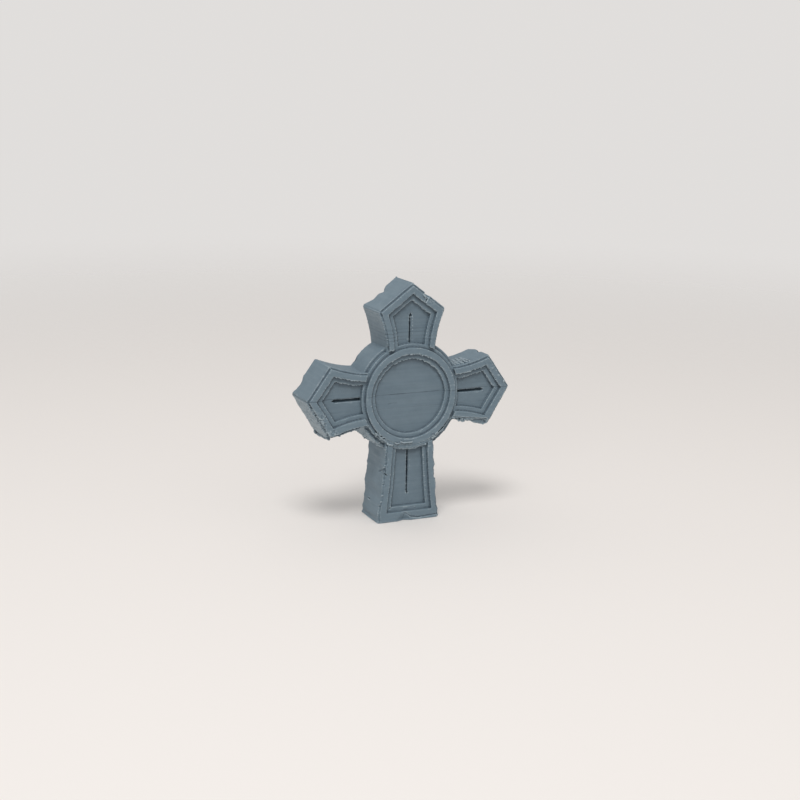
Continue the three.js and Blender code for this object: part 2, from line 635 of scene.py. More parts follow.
class ShaderTree:
    """Adds the nodes of a shader tree in short calls.

    Attributes:
        nodes: The tree's nodes.
        links: The tree's links.
    """

    def __init__(self, tree: bpy.types.NodeTree) -> None:
        """Takes hold of a tree.

        Args:
            tree: The tree.
        """
        self.nodes = tree.nodes
        self.links = tree.links

    def math(
        self,
        operation: str,
        first: bpy.types.NodeSocket | float,
        second: bpy.types.NodeSocket | float | None = None,
        third: float | None = None,
        clamp: bool = False,
    ) -> bpy.types.NodeSocket:
        """Adds a math node.

        Args:
            operation: What it works out.
            first: First number or the socket that gives it.
            second: Second number or the socket that gives it.
            third: Third number.
            clamp: Whether the result is kept between 0 and 1.

        Returns:
            The socket with the result.
        """
        node = self.nodes.new("ShaderNodeMath")
        node.operation = operation
        node.use_clamp = clamp
        for place, value in enumerate((first, second, third)):
            if isinstance(value, bpy.types.NodeSocket):
                self.links.new(value, node.inputs[place])
            elif value is not None:
                node.inputs[place].default_value = value
        return node.outputs[0]

    def product(self, *values: bpy.types.NodeSocket | float) -> bpy.types.NodeSocket:
        """Adds nodes that multiply numbers.

        Args:
            values: The numbers or the sockets that give them, two at least.

        Returns:
            The socket with the product.
        """
        total = values[0]
        for value in values[1:]:
            total = self.math("MULTIPLY", total, value)
        return total

    def mixed(
        self,
        share: bpy.types.NodeSocket,
        first: bpy.types.NodeSocket | Point,
        second: Point,
    ) -> bpy.types.NodeSocket:
        """Adds a node that mixes two colours.

        Args:
            share: How much of the second colour shows.
            first: First colour or the socket that gives it.
            second: Second colour.

        Returns:
            The socket with the mixed colour.
        """
        node = self.nodes.new("ShaderNodeMix")
        node.data_type = "RGBA"
        self.links.new(share, node.inputs["Factor"])
        if isinstance(first, bpy.types.NodeSocket):
            self.links.new(first, node.inputs[6])
        else:
            node.inputs[6].default_value = (*first, 1.0)
        node.inputs[7].default_value = (*second, 1.0)
        return node.outputs[2]

    def noise(self, place: bpy.types.NodeSocket, scale: float, detail: float = 2.0) -> bpy.types.NodeSocket:
        """Adds a noise pattern.

        Args:
            place: Socket that gives the position.
            scale: How fine the pattern is.
            detail: How many finer patterns are added to it.

        Returns:
            The socket with the pattern.
        """
        node = self.nodes.new("ShaderNodeTexNoise")
        node.inputs["Scale"].default_value = scale
        node.inputs["Detail"].default_value = detail
        self.links.new(place, node.inputs["Vector"])
        return node.outputs[0]

    def parts(self, place: bpy.types.NodeSocket) -> bpy.types.bpy_prop_collection:
        """Splits a position into its three numbers.

        Args:
            place: Socket that gives the position.

        Returns:
            The three sockets.
        """
        node = self.nodes.new("ShaderNodeSeparateXYZ")
        self.links.new(place, node.inputs[0])
        return node.outputs


@dataclass(frozen=True)
class PlasticFinish:
    """The matte blue-grey plastic of the print.

    Attributes:
        colour: Main colour.
        pale: Paler colour, for the painted highlight on edges and pale threads, the painted light on
            undersides, and the pale specks and layer tone.
        deep: Dark colour, for the painted shade in creases, recesses and under lips, and for the mottling,
            dark specks and fault lines.
        roughness: Least and most roughness.
        layer_pitch: Height of one print layer.
        layer_relief: Depth of the lines between layers.
        layer_tone: Slope and start of the layers' paleness.
        layer_power: How sharp the lines between layers are.
        waver_scale: How fine the layers' waver is.
        waver_height: How far they waver.
        band_scale: How fine the bands of layers are.
        band_stretch: How far the bands are drawn out along each axis.
        band_relief: Depth of the bands, as a share of the layers' depth.
        raster_pitch: Distance between the lines on upward faces.
        raster_relief: Depth of those lines.
        raster_power: How sharp those lines are.
        mottle_scale: How fine the plastic's mottling is, in spots to the millimetre.
        mottle_share: How strongly the mottling darkens it.
        grain_scale: How fine the grain is, in grains to the millimetre.
        grain_relief: Depth of the grain.
        speck_scale: How fine the specks of rough places are, in specks to the millimetre.
        pale_specks: Slope and start with which the pattern shows pale specks.
        deep_specks: The same for dark specks.
        edge_highlight_share: How strongly edges are paled with a painted highlight.
        underside_light_share: How strongly undersides are paled with painted light.
        painted_shade_share: How strongly the painted shade darkens creases, recesses and places under lips.
        faults: Heights of single dark layer lines and how strongly each shows.
        fault_width: Half-width of those lines.
        fault_share: How strongly they are darkened.
        fault_patches: How fine the patches are in which they show, to the millimetre.
        fault_shown: Slope and start with which the patches show them.
    """

    colour: Point = (0.160, 0.230, 0.284)
    pale: Point = (0.400, 0.485, 0.530)
    deep: Point = (0.036, 0.057, 0.080)
    roughness: Span = (0.46, 0.62)
    layer_pitch: float = 0.2
    layer_relief: float = 0.02
    layer_tone: Span = (0.3, -0.1)
    layer_power: float = 0.6
    waver_scale: float = 0.25
    waver_height: float = 0.04
    band_scale: float = 2.1
    band_stretch: Point = (0.05, 0.05, 1.0)
    band_relief: float = 0.8
    raster_pitch: float = 0.42
    raster_relief: float = 0.03
    raster_power: float = 0.5
    mottle_scale: float = 0.5
    mottle_share: float = 0.25
    grain_scale: float = 4.0
    grain_relief: float = 0.02
    speck_scale: float = 2.2
    pale_specks: Span = (7.0, -3.7)
    deep_specks: Span = (-7.0, 3.1)
    # Painted highlight on edges.
    edge_highlight_share: float = 0.85
    # Painted light on undersides.
    underside_light_share: float = 0.5
    # Painted shade in creases, recesses and under lips.
    painted_shade_share: float = 0.9
    faults: tuple[Span, ...] = (
        (LAYER_LINE_HEIGHT, 1.0),
        (38.3, 0.6),
        (39.0, 0.5),
        (39.8, 0.6),
        (40.5, 0.45),
        (24.1, 0.3),
    )
    fault_width: float = 0.075
    fault_share: float = 0.85
    fault_patches: float = 0.35
    fault_shown: Span = (2.4, -0.6)

    def layer_group(self) -> bpy.types.NodeTree:
        """Builds the group that gives the relief and tone of print layers.

        Returns:
            A group with a position and a pitch going in, and a relief and a tone coming out.
        """
        group = bpy.data.node_groups.new("print_layers", "ShaderNodeTree")
        face = group.interface
        face.new_socket("Position", in_out="INPUT", socket_type="NodeSocketVector")
        pitch = face.new_socket("Pitch", in_out="INPUT", socket_type="NodeSocketFloat")
        pitch.default_value = self.layer_pitch
        face.new_socket("Relief", in_out="OUTPUT", socket_type="NodeSocketFloat")
        face.new_socket("Tone", in_out="OUTPUT", socket_type="NodeSocketFloat")
        nodes, links = group.nodes, group.links
        tree = ShaderTree(group)
        given = nodes.new("NodeGroupInput")
        out = nodes.new("NodeGroupOutput")
        millimetres = nodes.new("ShaderNodeVectorMath")
        millimetres.operation = "SCALE"
        millimetres.inputs["Scale"].default_value = 1 / MILLIMETRE
        links.new(given.outputs["Position"], millimetres.inputs[0])
        waver = tree.product(tree.noise(millimetres.outputs[0], self.waver_scale), self.waver_height)
        height = tree.math("ADD", tree.parts(millimetres.outputs[0])[2], waver)
        turns = tree.math("DIVIDE", height, given.outputs["Pitch"])
        wave = tree.math("ABSOLUTE", tree.math("SINE", tree.product(turns, math.pi)))
        flat = nodes.new("ShaderNodeVectorMath")
        flat.operation = "MULTIPLY"
        flat.inputs[1].default_value = self.band_stretch
        links.new(millimetres.outputs[0], flat.inputs[0])
        band = tree.noise(flat.outputs[0], self.band_scale, 3.0)
        lines = tree.math("POWER", wave, self.layer_power)
        relief = tree.math("ADD", lines, tree.product(band, self.band_relief))
        links.new(relief, out.inputs["Relief"])
        links.new(band, out.inputs["Tone"])
        return group

    def raster_group(self) -> bpy.types.NodeTree:
        """Builds the group that gives the slanting lines on upward faces.

        Returns:
            A group with a position going in and a relief coming out.
        """
        group = bpy.data.node_groups.new("raster_lines", "ShaderNodeTree")
        face = group.interface
        face.new_socket("Position", in_out="INPUT", socket_type="NodeSocketVector")
        face.new_socket("Relief", in_out="OUTPUT", socket_type="NodeSocketFloat")
        tree = ShaderTree(group)
        given = group.nodes.new("NodeGroupInput")
        out = group.nodes.new("NodeGroupOutput")
        parts = tree.parts(given.outputs["Position"])
        across = tree.math("ADD", parts[0], parts[1])
        turns = tree.product(across, math.pi / (self.raster_pitch * MILLIMETRE * math.sqrt(2)))
        wave = tree.math("ABSOLUTE", tree.math("SINE", turns))
        group.links.new(tree.math("POWER", wave, self.raster_power), out.inputs["Relief"])
        return group

    def fault_lines(self, tree: ShaderTree, place: bpy.types.NodeSocket) -> bpy.types.NodeSocket:
        """Adds the dark lines of single layers that went wrong.

        Args:
            tree: Tree that they go in.
            place: Socket that gives the position.

        Returns:
            The socket with their mask.
        """
        height_here = tree.parts(place)[2]
        patchy = tree.noise(place, self.fault_patches / MILLIMETRE)
        shown = tree.math("MULTIPLY_ADD", patchy, *self.fault_shown, clamp=True)
        total: bpy.types.NodeSocket | float = 0.0
        for height, strength in self.faults:
            away = tree.math("SUBTRACT", height_here, height * MILLIMETRE)
            share = tree.math("DIVIDE", away, self.fault_width * MILLIMETRE)
            bell = tree.math("POWER", math.e, tree.product(share, share, -1.0))
            total = tree.math("MAXIMUM", tree.product(bell, strength), total)
        return tree.product(total, shown)

    def speckled(
        self,
        tree: ShaderTree,
        place: bpy.types.NodeSocket,
        where: bpy.types.NodeSocket,
        colour: bpy.types.NodeSocket,
    ) -> bpy.types.NodeSocket:
        """Adds the pale and dark specks of the rough places.

        Args:
            tree: Tree that they go in.
            place: Socket that gives the position.
            where: Socket with the mask of the rough places.
            colour: Socket with the colour without specks.

        Returns:
            The socket with the speckled colour.
        """
        specks = tree.noise(place, self.speck_scale / MILLIMETRE, 1.0)
        for line, tint in ((self.pale_specks, self.pale), (self.deep_specks, self.deep)):
            shown = tree.math("MULTIPLY_ADD", specks, *line, clamp=True)
            colour = tree.mixed(tree.product(shown, where), colour, tint)
        return colour

    def coloured(
        self,
        tree: ShaderTree,
        place: bpy.types.NodeSocket,
        tone: bpy.types.NodeSocket,
        mottle: bpy.types.NodeSocket,
        masks: dict[str, bpy.types.NodeSocket],
    ) -> bpy.types.NodeSocket:
        """Adds the plastic's colour.

        Args:
            tree: Tree that it goes in.
            place: Socket that gives the position.
            tone: Socket with the tone of the layers.
            mottle: Socket with the mottling.
            masks: Sockets with the masks that are stored in the mesh.

        Returns:
            The socket with the colour.
        """
        colour = tree.mixed(tree.math("MULTIPLY_ADD", tone, *self.layer_tone), self.colour, self.pale)
        colour = tree.mixed(tree.product(mottle, self.mottle_share), colour, self.deep)
        # Painted highlight on edges.
        colour = tree.mixed(tree.product(masks["edge"], self.edge_highlight_share), colour, self.pale)
        # Painted light on undersides.
        colour = tree.mixed(tree.product(masks["under"], self.underside_light_share), colour, self.pale)
        # Painted shade in creases, recesses and under lips.
        colour = tree.mixed(tree.product(masks["painted_shade"], self.painted_shade_share), colour, self.deep)
        colour = self.speckled(tree, place, masks["rough"], colour)
        line = self.fault_lines(tree, place)
        return tree.mixed(tree.product(line, self.fault_share), colour, self.deep)

    def relieved(
        self,
        tree: ShaderTree,
        place: bpy.types.NodeSocket,
        layer: bpy.types.NodeSocket,
        raster: bpy.types.NodeSocket,
        upward: bpy.types.NodeSocket,
    ) -> bpy.types.NodeSocket:
        """Adds the relief of layers, raster lines and grain.

        Args:
            tree: Tree that it goes in.
            place: Socket that gives the position.
            layer: Socket with the relief of the layers.
            raster: Socket with the relief of the raster lines.
            upward: Socket with the mask of the upward faces.

        Returns:
            The socket with the surface's direction.
        """
        wall = tree.math("SUBTRACT", 1.0, upward)
        stacked = tree.product(layer, wall, self.layer_relief)
        rastered = tree.product(raster, upward, self.raster_relief)
        grained = tree.product(tree.noise(place, self.grain_scale / MILLIMETRE), self.grain_relief)
        bump = tree.nodes.new("ShaderNodeBump")
        bump.inputs["Strength"].default_value = 1.0
        bump.inputs["Distance"].default_value = MILLIMETRE
        relief = tree.math("ADD", tree.math("ADD", stacked, rastered), grained)
        tree.links.new(relief, bump.inputs["Height"])
        return bump.outputs[0]

    def material(self, name: str) -> bpy.types.Material:
        """Builds the plastic's material.

        Args:
            name: Name of the material.

        Returns:
            The material.
        """
        material = bpy.data.materials.new(name)
        material.use_nodes = True
        nodes, links = material.node_tree.nodes, material.node_tree.links
        tree = ShaderTree(material.node_tree)
        shader = nodes["Principled BSDF"]
        place = nodes.new("ShaderNodeTexCoord").outputs["Object"]
        layers = nodes.new("ShaderNodeGroup")
        layers.node_tree = self.layer_group()
        layers.inputs["Pitch"].default_value = self.layer_pitch
        links.new(place, layers.inputs["Position"])
        raster = nodes.new("ShaderNodeGroup")
        raster.node_tree = self.raster_group()
        links.new(place, raster.inputs["Position"])
        masks = {}
        for mask in ToneMasks.NAMES:
            node = nodes.new("ShaderNodeAttribute")
            node.attribute_name = mask
            masks[mask] = node.outputs["Fac"]
        mottle = tree.noise(place, self.mottle_scale / MILLIMETRE, 4.0)
        colour = self.coloured(tree, place, layers.outputs["Tone"], mottle, masks)
        links.new(colour, shader.inputs["Base Color"])
        spread = nodes.new("ShaderNodeMapRange")
        spread.inputs["To Min"].default_value = self.roughness[0]
        spread.inputs["To Max"].default_value = self.roughness[1]
        links.new(mottle, spread.inputs["Value"])
        links.new(spread.outputs[0], shader.inputs["Roughness"])
        facing = self.relieved(
            tree, place, layers.outputs["Relief"], raster.outputs["Relief"], masks["upward"]
        )
        links.new(facing, shader.inputs["Normal"])
        return material


@dataclass(frozen=True)
class LooseThreads:
    """The threads and beads of plastic that stand on the print.

    Attributes:
        loop_stand: How far the loops under the ring stand before the face.
        arm_radius: Half the thickness of a thread under a side arm.
        arm_waver: How far such a thread strays.
        arm_points: How many points such a thread is laid through.
        arc_points: The same for a thread round the boss.
        zigzag_start: Where the zigzag on the right arm starts, from the centre of the boss.
        zigzag_step: How far it goes on with each turn.
        zigzag_turns: How many turns it has.
        zigzag_ends: How deep behind the face it turns.
        slit_side: How far beside a slit's middle the thread lies that narrows it.
    """

    loop_stand: float = 0.2
    arm_radius: float = 0.2
    arm_waver: float = 0.14
    arm_points: int = 8
    arc_points: int = 12
    zigzag_start: float = 10.4
    zigzag_step: float = 0.22
    zigzag_turns: int = 17
    zigzag_ends: Span = (1.5, 5.2)
    slit_side: float = 0.22

    def loops(self) -> list[ThreadPath]:
        """Lists the loops under the ring, which carry a painted highlight.

        Returns:
            The threads.
        """
        front = FACE - self.loop_stand
        middle = ((-2.4, front, 17.2), (-1.6, front, 17.0), (-0.5, front, 16.95), (0.4, front, 17.0))
        left = ((-3.7, front, 17.1), (-3.1, front, 16.85), (-2.5, front, 16.8))
        outer = ((-5.4, front + 0.3, 17.1), (-4.7, front + 0.1, 16.75), (-4.0, front + 0.2, 16.6))
        return [
            ThreadPath(middle, 0.13, 0.02, 1, True),
            ThreadPath(left, 0.14, 0.03, 2, True),
            ThreadPath(outer, 0.15, 0.04, 3, True),
        ]

    def rim(self) -> list[ThreadPath]:
        """Lists the threads that sag round the lower edge of the boss.

        Returns:
            The threads.
        """
        return [
            self.arc(10.45, (-124, -56), 0.3, 0.26, 4, 0.03),
            self.arc(10.75, (-119, -60), 0.4, 0.26, 5, 0.03),
            self.arc(11.0, (-112, -66), 0.55, 0.24, 6, 0.05),
            self.arc(10.5, (-138, -116), 0.3, 0.17, 7, 0.1),
            self.arc(10.6, (-66, -40), 0.45, 0.16, 8, 0.1),
            self.arc(11.55, (-152, -114), 1.4, 0.2, 9, 0.1),
            self.arc(11.7, (-148, -116), 4.0, 0.2, 10, 0.1),
            self.arc(11.95, (-150, -114), 8.0, 0.22, 11, 0.1),
        ]

    def drips(self) -> list[ThreadPath]:
        """Lists the threads that hang under the side arms, and the flake at the top arm's edge.

        Returns:
            The threads.
        """
        inner = ((10.8, FACE + 0.5, 20.9), (11.3, FACE + 0.4, 20.4), (12.0, FACE + 0.5, 20.85))
        outer = ((11.7, FACE + 0.5, 20.8), (12.2, FACE + 0.4, 20.25), (12.8, FACE + 0.5, 20.7))
        corner = (
            (-17.9, BACK - 0.3, 18.8),
            (-17.8, BACK - 2.0, 18.6),
            (-17.7, 0.0, 18.7),
            (-17.5, FACE + 1.6, 18.8),
        )
        flake = ((1.9, FACE + 0.3, 47.8), (2.4, FACE - 0.1, 47.4), (2.8, FACE, 46.8))
        return [
            ThreadPath(inner, 0.22, 0.03, 12),
            ThreadPath(outer, 0.22, 0.03, 13),
            self.under_arm(-1, (-15.8, -11.4), 0.6, 14),
            self.under_arm(-1, (-14.6, -12.0), 0.9, 15),
            self.under_arm(-1, (-17.5, -11.6), 8.4, 16),
            ThreadPath(corner, 0.32, 0.08, 36),
            self.under_arm(1, (12.5, 17.2), 0.7, 17),
            self.under_arm(1, (11.6, 17.3), 0.35, 19, 0.12),
            ThreadPath(flake, 0.15, 0.02, 20, True),
        ]

    def slit_fillings(self) -> list[ThreadPath]:
        """Lists the threads that narrow the upright slits from the right.

        Returns:
            The threads.
        """
        low = ((self.slit_side, FACE + 1.56, 16.2), (self.slit_side, FACE + 1.56, 5.9))
        high = ((self.slit_side, FACE + 1.58, 37.2), (self.slit_side, FACE + 1.58, 43.0))
        return [ThreadPath(low, 0.21, 0.02, 34), ThreadPath(high, 0.2, 0.02, 35)]

    def zigzag(self) -> ThreadPath:
        """Gives the thread that zigzags over the top of the right arm beside the boss.

        Returns:
            The thread.
        """
        points = []
        for turn in range(self.zigzag_turns):
            x = self.zigzag_start + self.zigzag_step * turn
            depth = self.zigzag_ends[0] if turn % 4 < 2 else self.zigzag_ends[1]
            points.append((x, FACE + depth, BOSS_HEIGHT + arm_half_width(x) + 0.1))
        return ThreadPath(tuple(points), 0.15, 0.02, 18, True)

    def threads(self) -> list[ThreadPath]:
        """Lists all the loose and sagging threads of plastic.

        Returns:
            The threads.
        """
        return self.loops() + self.rim() + self.drips() + self.slit_fillings() + [self.zigzag()]

    def arc(
        self, radius: float, ends: Span, depth: float, thick: float, seed: int, waver: float
    ) -> ThreadPath:
        """Gives a thread round the boss.

        Args:
            radius: Its distance from the centre of the boss.
            ends: Angles between which it runs, in degrees.
            depth: How deep it lies behind the face.
            thick: Half its thickness.
            seed: Number of its random pattern.
            waver: How far it strays from the arc.

        Returns:
            The thread.
        """
        angles = np.radians(np.linspace(*ends, self.arc_points))
        points = ((radius * math.cos(a), FACE + depth, BOSS_HEIGHT + radius * math.sin(a)) for a in angles)
        return ThreadPath(tuple(points), thick, waver, seed)

    def under_arm(self, side: int, ends: Span, depth: float, seed: int, drop: float = 0.25) -> ThreadPath:
        """Gives a thread that sags under a side arm.

        Args:
            side: -1 for the left arm and 1 for the right.
            ends: Places along X between which it runs.
            depth: How deep it lies behind the face.
            seed: Number of its random pattern.
            drop: How far it hangs below the arm.

        Returns:
            The thread.
        """
        places = np.linspace(*ends, self.arm_points)
        points = ((x, FACE + depth, BOSS_HEIGHT - arm_half_width(side * x) - drop) for x in places)
        return ThreadPath(tuple(points), self.arm_radius, self.arm_waver, seed)

    def bead_rows(self) -> list[BeadRow]:
        """Lists the rows of beads where the layers start and stop.

        Returns:
            The rows.
        """
        foot = [1.2 + 1.4 * step for step in range(11)]
        top = [37.4 + step for step in range(7)]
        outer = FACE + STEP_DEPTH
        slit = FACE + 1.15
        foot_left = tuple((-foot_half_width(z), outer, z) for z in foot)
        foot_right = tuple((foot_half_width(z) - RABBET_WIDTH, FACE, z) for z in foot)
        foot_frame = tuple((foot_half_width(z) - 1.7, FACE, z) for z in foot[2:])
        foot_ledge = tuple((foot_half_width(z) - 2.3, outer, z) for z in foot[2:])
        foot_slit = tuple((-0.36, slit, z) for z in foot[4:10])
        top_left = tuple((-top_half_width(z), outer, z) for z in top)
        top_right = tuple((top_half_width(z) - RABBET_WIDTH, FACE, z) for z in top)
        top_ledge = tuple((top_half_width(z) - 2.1, outer, z) for z in top[:5])
        top_slit = tuple((0.36, slit, z) for z in top[:6])
        left_edge = ((-22.2, FACE + 0.5, 26.2), (-17.9, FACE + 0.4, 19.6))
        left_slope = ((-22.3, FACE + 0.8, 25.8), (-18.2, FACE + 0.8, 19.4))
        crown_back = ((0.1, BACK - 0.2, 49.95), (1.9, BACK - 0.2, 48.7))
        crown = ((0.0, BACK - 2.6, 49.8), (0.0, FACE + 1.0, 49.75))
        return [
            BeadRow(foot_left, 0.55, 0.16, 0.06, 21),
            BeadRow(foot_right, 0.5, 0.15, 0.06, 22),
            BeadRow(foot_frame, 0.6, 0.14, 0.05, 23),
            BeadRow(top_left, 0.5, 0.15, 0.05, 24),
            BeadRow(top_right, 0.6, 0.13, 0.05, 25),
            BeadRow(foot_ledge, 0.42, 0.15, 0.06, 28),
            BeadRow(top_ledge, 0.5, 0.14, 0.05, 29),
            BeadRow(foot_slit, 0.8, 0.12, 0.05, 32),
            BeadRow(top_slit, 0.7, 0.12, 0.05, 33),
            BeadRow(left_edge, 0.4, 0.16, 0.1, 30),
            BeadRow(left_slope, 0.5, 0.17, 0.12, 31),
            BeadRow(crown_back, 0.45, 0.25, 0.1, 26),
            BeadRow(crown, 0.7, 0.18, 0.08, 27),
        ]

    def shells(self, material: bpy.types.Material) -> list[bpy.types.Mesh]:
        """Makes all the threads and beads.

        Args:
            material: The plastic.

        Returns:
            A plain mesh of each thread and each row of beads.
        """
        thread_tree = ThreadTree("plastic_thread")
        bead_tree = BeadTree("seam_beads")
        threads = [thread_tree.lay(path, material) for path in self.threads()]
        return threads + [bead_tree.string(row, material) for row in self.bead_rows()]


@dataclass(frozen=True)
class PrintFaults:
    """The broken, cracked and rough places of the print.

    Attributes:
        rough_patches: Places where the print is rough.
        under_rough: How far the roughness of undersides goes in and out.
        coarse_lumps: Pattern of the rough places.
        fine_lumps: Finer pattern on top of it.
        grain: Pattern of the plastic's own grain.
        facet_reach: How far a corner that is rounded from face to back reaches.
        facet_gain: How quickly a facet takes full effect from its rim inwards.
        dent_power: How pointed dents and lumps are.
    """

    rough_patches: tuple[RoughPatch, ...] = (
        RoughPatch((-17.6, FACE + 0.3, 19.8), (2.6, 1.6, 2.0), 0.08),
        RoughPatch((-20.2, FACE + 4.5, 22.5), (3.0, 6.0, 4.5), 0.05),
        RoughPatch((-0.8, FACE + 0.4, 15.9), (6.0, 1.4, 1.4), 0.03),
        RoughPatch((5.6, FACE + 0.4, 17.3), (2.2, 1.4, 1.8), 0.09),
        RoughPatch((-7.2, FACE + 3.0, 17.6), (3.6, 6.0, 2.6), 0.06),
        RoughPatch((4.4, FACE + 0.2, 46.2), (2.0, 1.2, 1.4), 0.06),
        RoughPatch((-1.6, FACE, 0.6), (4.5, 1.0, 1.3), 0.03),
        RoughPatch((17.6, FACE + 0.4, 19.6), (1.6, 1.4, 1.2), 0.09),
        RoughPatch((0.0, FACE + 6.5, 48.6), (2.2, 3.5, 1.2), 0.05),
        RoughPatch((18.4, FACE + 1.0, 31.8), (2.6, 1.2, 2.0), 0.05),
        RoughPatch((-20.2, FACE + 0.4, 22.6), (2.6, 1.0, 4.2), 0.08),
        RoughPatch((12.2, FACE + 3.2, 32.4), (2.4, 3.0, 0.9), 0.04),
    )
    under_rough: float = 0.05
    coarse_lumps: Pattern = Pattern((0.36, 0.5, 0.26), 61)
    fine_lumps: Pattern = Pattern((0.2, 0.24, 0.17), 62, 0.7)
    grain: Pattern = Pattern((0.32, 0.32, 0.32), 63, 0.009)
    facet_reach: float = 40.0
    facet_gain: float = 3.0
    dent_power: float = 1.5

    def facets(self) -> list[Mark]:
        """Lists the rounded and broken corners.

        Returns:
            The marks.
        """
        through = self.facet_reach
        kind = MarkKind.FACET
        return [
            Mark(kind, (7.2, 0, 44.5), (1.1, through, 1.1), facing=(0.93, 0, 0.37)),
            Mark(kind, (-7.2, 0, 44.5), (1.1, through, 1.1), facing=(-0.93, 0, 0.37)),
            Mark(kind, (17.75, BACK, 33.6), (1.8, 3.2, 1.8), facing=(0.2, 0.2, 0.96)),
            Mark(kind, (-17.95, 0, 33.8), (1.1, through, 1.1), facing=(-0.37, 0, 0.93)),
            Mark(kind, (17.7, 0, 19.1), (1.3, through, 1.3), facing=(0.5, 0, -0.87)),
            Mark(kind, (-17.7, FACE, 19.2), (1.1, 2.4, 1.1), facing=(-0.35, 0, -0.94)),
            Mark(kind, (-22.75, 0, 26.9), (1.5, through, 1.5), facing=(-1, 0, 0)),
        ]

    def dents(self) -> list[Mark]:
        """Lists the dents in the arms, and the broken lower edge of the right arm with its line.

        Returns:
            The marks.
        """
        kind = MarkKind.DENT
        line = ((9.6, FACE, 21.4), (13.3, FACE, 20.85), (17.2, FACE, 20.45))
        return [
            Mark(kind, (-17.6, FACE + 0.5, 19.3), (0.9, 1.0, 0.5), 0.4),
            Mark(kind, (17.9, FACE + 4.9, 33.9), (0.45, 0.9, 0.7), 0.4),
            Mark(kind, (5.9, FACE + 0.4, 10.8), (0.9, 1.6, 0.6), 0.35),
            Mark(kind, (6.3, FACE + 0.4, 8.9), (0.9, 1.6, 0.5), 0.22),
            Mark(kind, (5.7, FACE + 0.4, 14.2), (0.9, 1.6, 0.5), 0.22),
            Mark(kind, (-6.6, FACE + 5.8, 3.9), (0.9, 0.9, 0.25), 0.3),
            Mark(kind, (-9.1, BACK - 0.8, 33.0), (1.0, 1.8, 1.0), 0.3),
            Mark(kind, (-5.8, FACE + 1.3, 11.1), (1.1, 1.9, 0.9), 0.22),
            Mark(MarkKind.FACET, (15.4, FACE + 0.4, 19.7), (2.6, 3.0, 0.85), facing=(0, -1, 0)),
            *self.grooves(line, (0.1, 0.1), (0.22, 0.22)),
            Mark(kind, (17.5, FACE + 0.4, 20.3), (0.45, 0.9, 0.28), 0.6),
            Mark(kind, (-4.2, FACE + 0.6, 2.9), (0.3, 0.5, 0.2), 0.25),
            Mark(kind, (1.6, FACE + 0.3, 2.3), (0.3, 0.5, 0.2), 0.25),
        ]

    def lumps(self) -> list[Mark]:
        """Lists the spots that stand out.

        Returns:
            The marks.
        """
        kind = MarkKind.LUMP
        return [
            Mark(kind, (18.5, FACE, 31.2), (0.55, 0.6, 0.3), 0.16),
            Mark(kind, (21.4, FACE, 28.2), (0.3, 0.6, 0.5), 0.16),
            Mark(kind, (3.5, FACE + 0.3, 16.1), (0.4, 0.6, 0.35), 0.3),
        ]

    def cracks(self) -> list[Mark]:
        """Lists the cracks and scratches, and the pit in the left arm's lower back corner.

        Returns:
            The marks.
        """
        flake = ((2.5, FACE, 45.7), (3.4, FACE, 47.1))
        side_upper = ((-5.7, FACE + 2.8, 10.5), (-5.7, FACE + 0.6, 11.6), (-5.1, FACE, 12.0))
        side_lower = ((-5.7, FACE + 2.8, 10.5), (-5.7, FACE + 0.5, 10.4), (-4.3, FACE + 0.2, 9.8))
        foot = ((-1.2, FACE, 1.9), (0.4, FACE, 0.8), (2.4, FACE, 0.5), (6.8, FACE, 0.75))
        disc = ((-4.6, FACE + 1.2, 25.05), (-2.9, FACE + 1.2, 25.15))
        return [
            *self.grooves(flake, (0.14,), (0.3,)),
            *self.grooves(side_upper, (0.16, 0.18), (0.16, 0.07)),
            *self.grooves(side_lower, (0.18, 0.2), (0.16, 0.1)),
            *self.grooves(foot, (0.12, 0.1, 0.09), (0.25, 0.22, 0.16)),
            Mark(MarkKind.DENT, (-18.1, BACK - 1.3, 18.9), (0.5, 0.8, 0.5), 0.4),
            *self.grooves(disc, (0.1,), (0.05,)),
        ]

    @staticmethod
    def grooves(
        points: tuple[Point, ...], widths: tuple[float, ...], depths: tuple[float, ...]
    ) -> list[Mark]:
        """Lists the grooves along a broken line.

        Args:
            points: Places that the line passes through.
            widths: Half-width of each stretch.
            depths: Depth of each stretch.

        Returns:
            A groove for each stretch.
        """
        return [
            Mark(MarkKind.GROOVE, start, (width, 0, 0), depth, to=end)
            for start, end, width, depth in zip(points, points[1:], widths, depths)
        ]

    def put(self, skin: Skin) -> None:
        """Puts all the marks into a skin.

        Args:
            skin: The skin.
        """
        normals = skin.normals()
        for mark in self.facets() + self.dents() + self.lumps() + self.cracks():
            if mark.kind is MarkKind.GROOVE:
                away = from_line(skin.points, mark.at, mark.to)
                skin.points -= normals * (mark.depth * np.exp(-((away / mark.size[0]) ** 2)))[:, None]
                continue
            offset = skin.points - np.asarray(mark.at)
            near = np.clip(1 - np.linalg.norm(offset / np.asarray(mark.size), axis=1) ** 2, 0, 1)
            if mark.kind is MarkKind.FACET:
                out = np.asarray(mark.facing)
                over = np.maximum(offset @ out, 0) * np.minimum(1, self.facet_gain * near)
                skin.points -= over[:, None] * out
                continue
            way = -1 if mark.kind is MarkKind.DENT else 1
            skin.points += normals * (way * mark.depth * near**self.dent_power)[:, None]

    def roughness(self, skin: Skin) -> np.ndarray:
        """Gives how rough the print is: its undersides and the listed patches.

        Args:
            skin: The skin.

        Returns:
            How far the roughness goes in and out at each corner.
        """
        points = skin.points
        amount = self.under_rough * ramp(-skin.normals()[:, 2], 0.15, 0.6) * ramp(points[:, 2], 1.0, 2.5)
        for patch in self.rough_patches:
            away = np.linalg.norm((points - np.asarray(patch.at)) / np.asarray(patch.size), axis=1)
            amount = np.maximum(amount, patch.amount * below(away, 0.45, 1.0))
        return amount

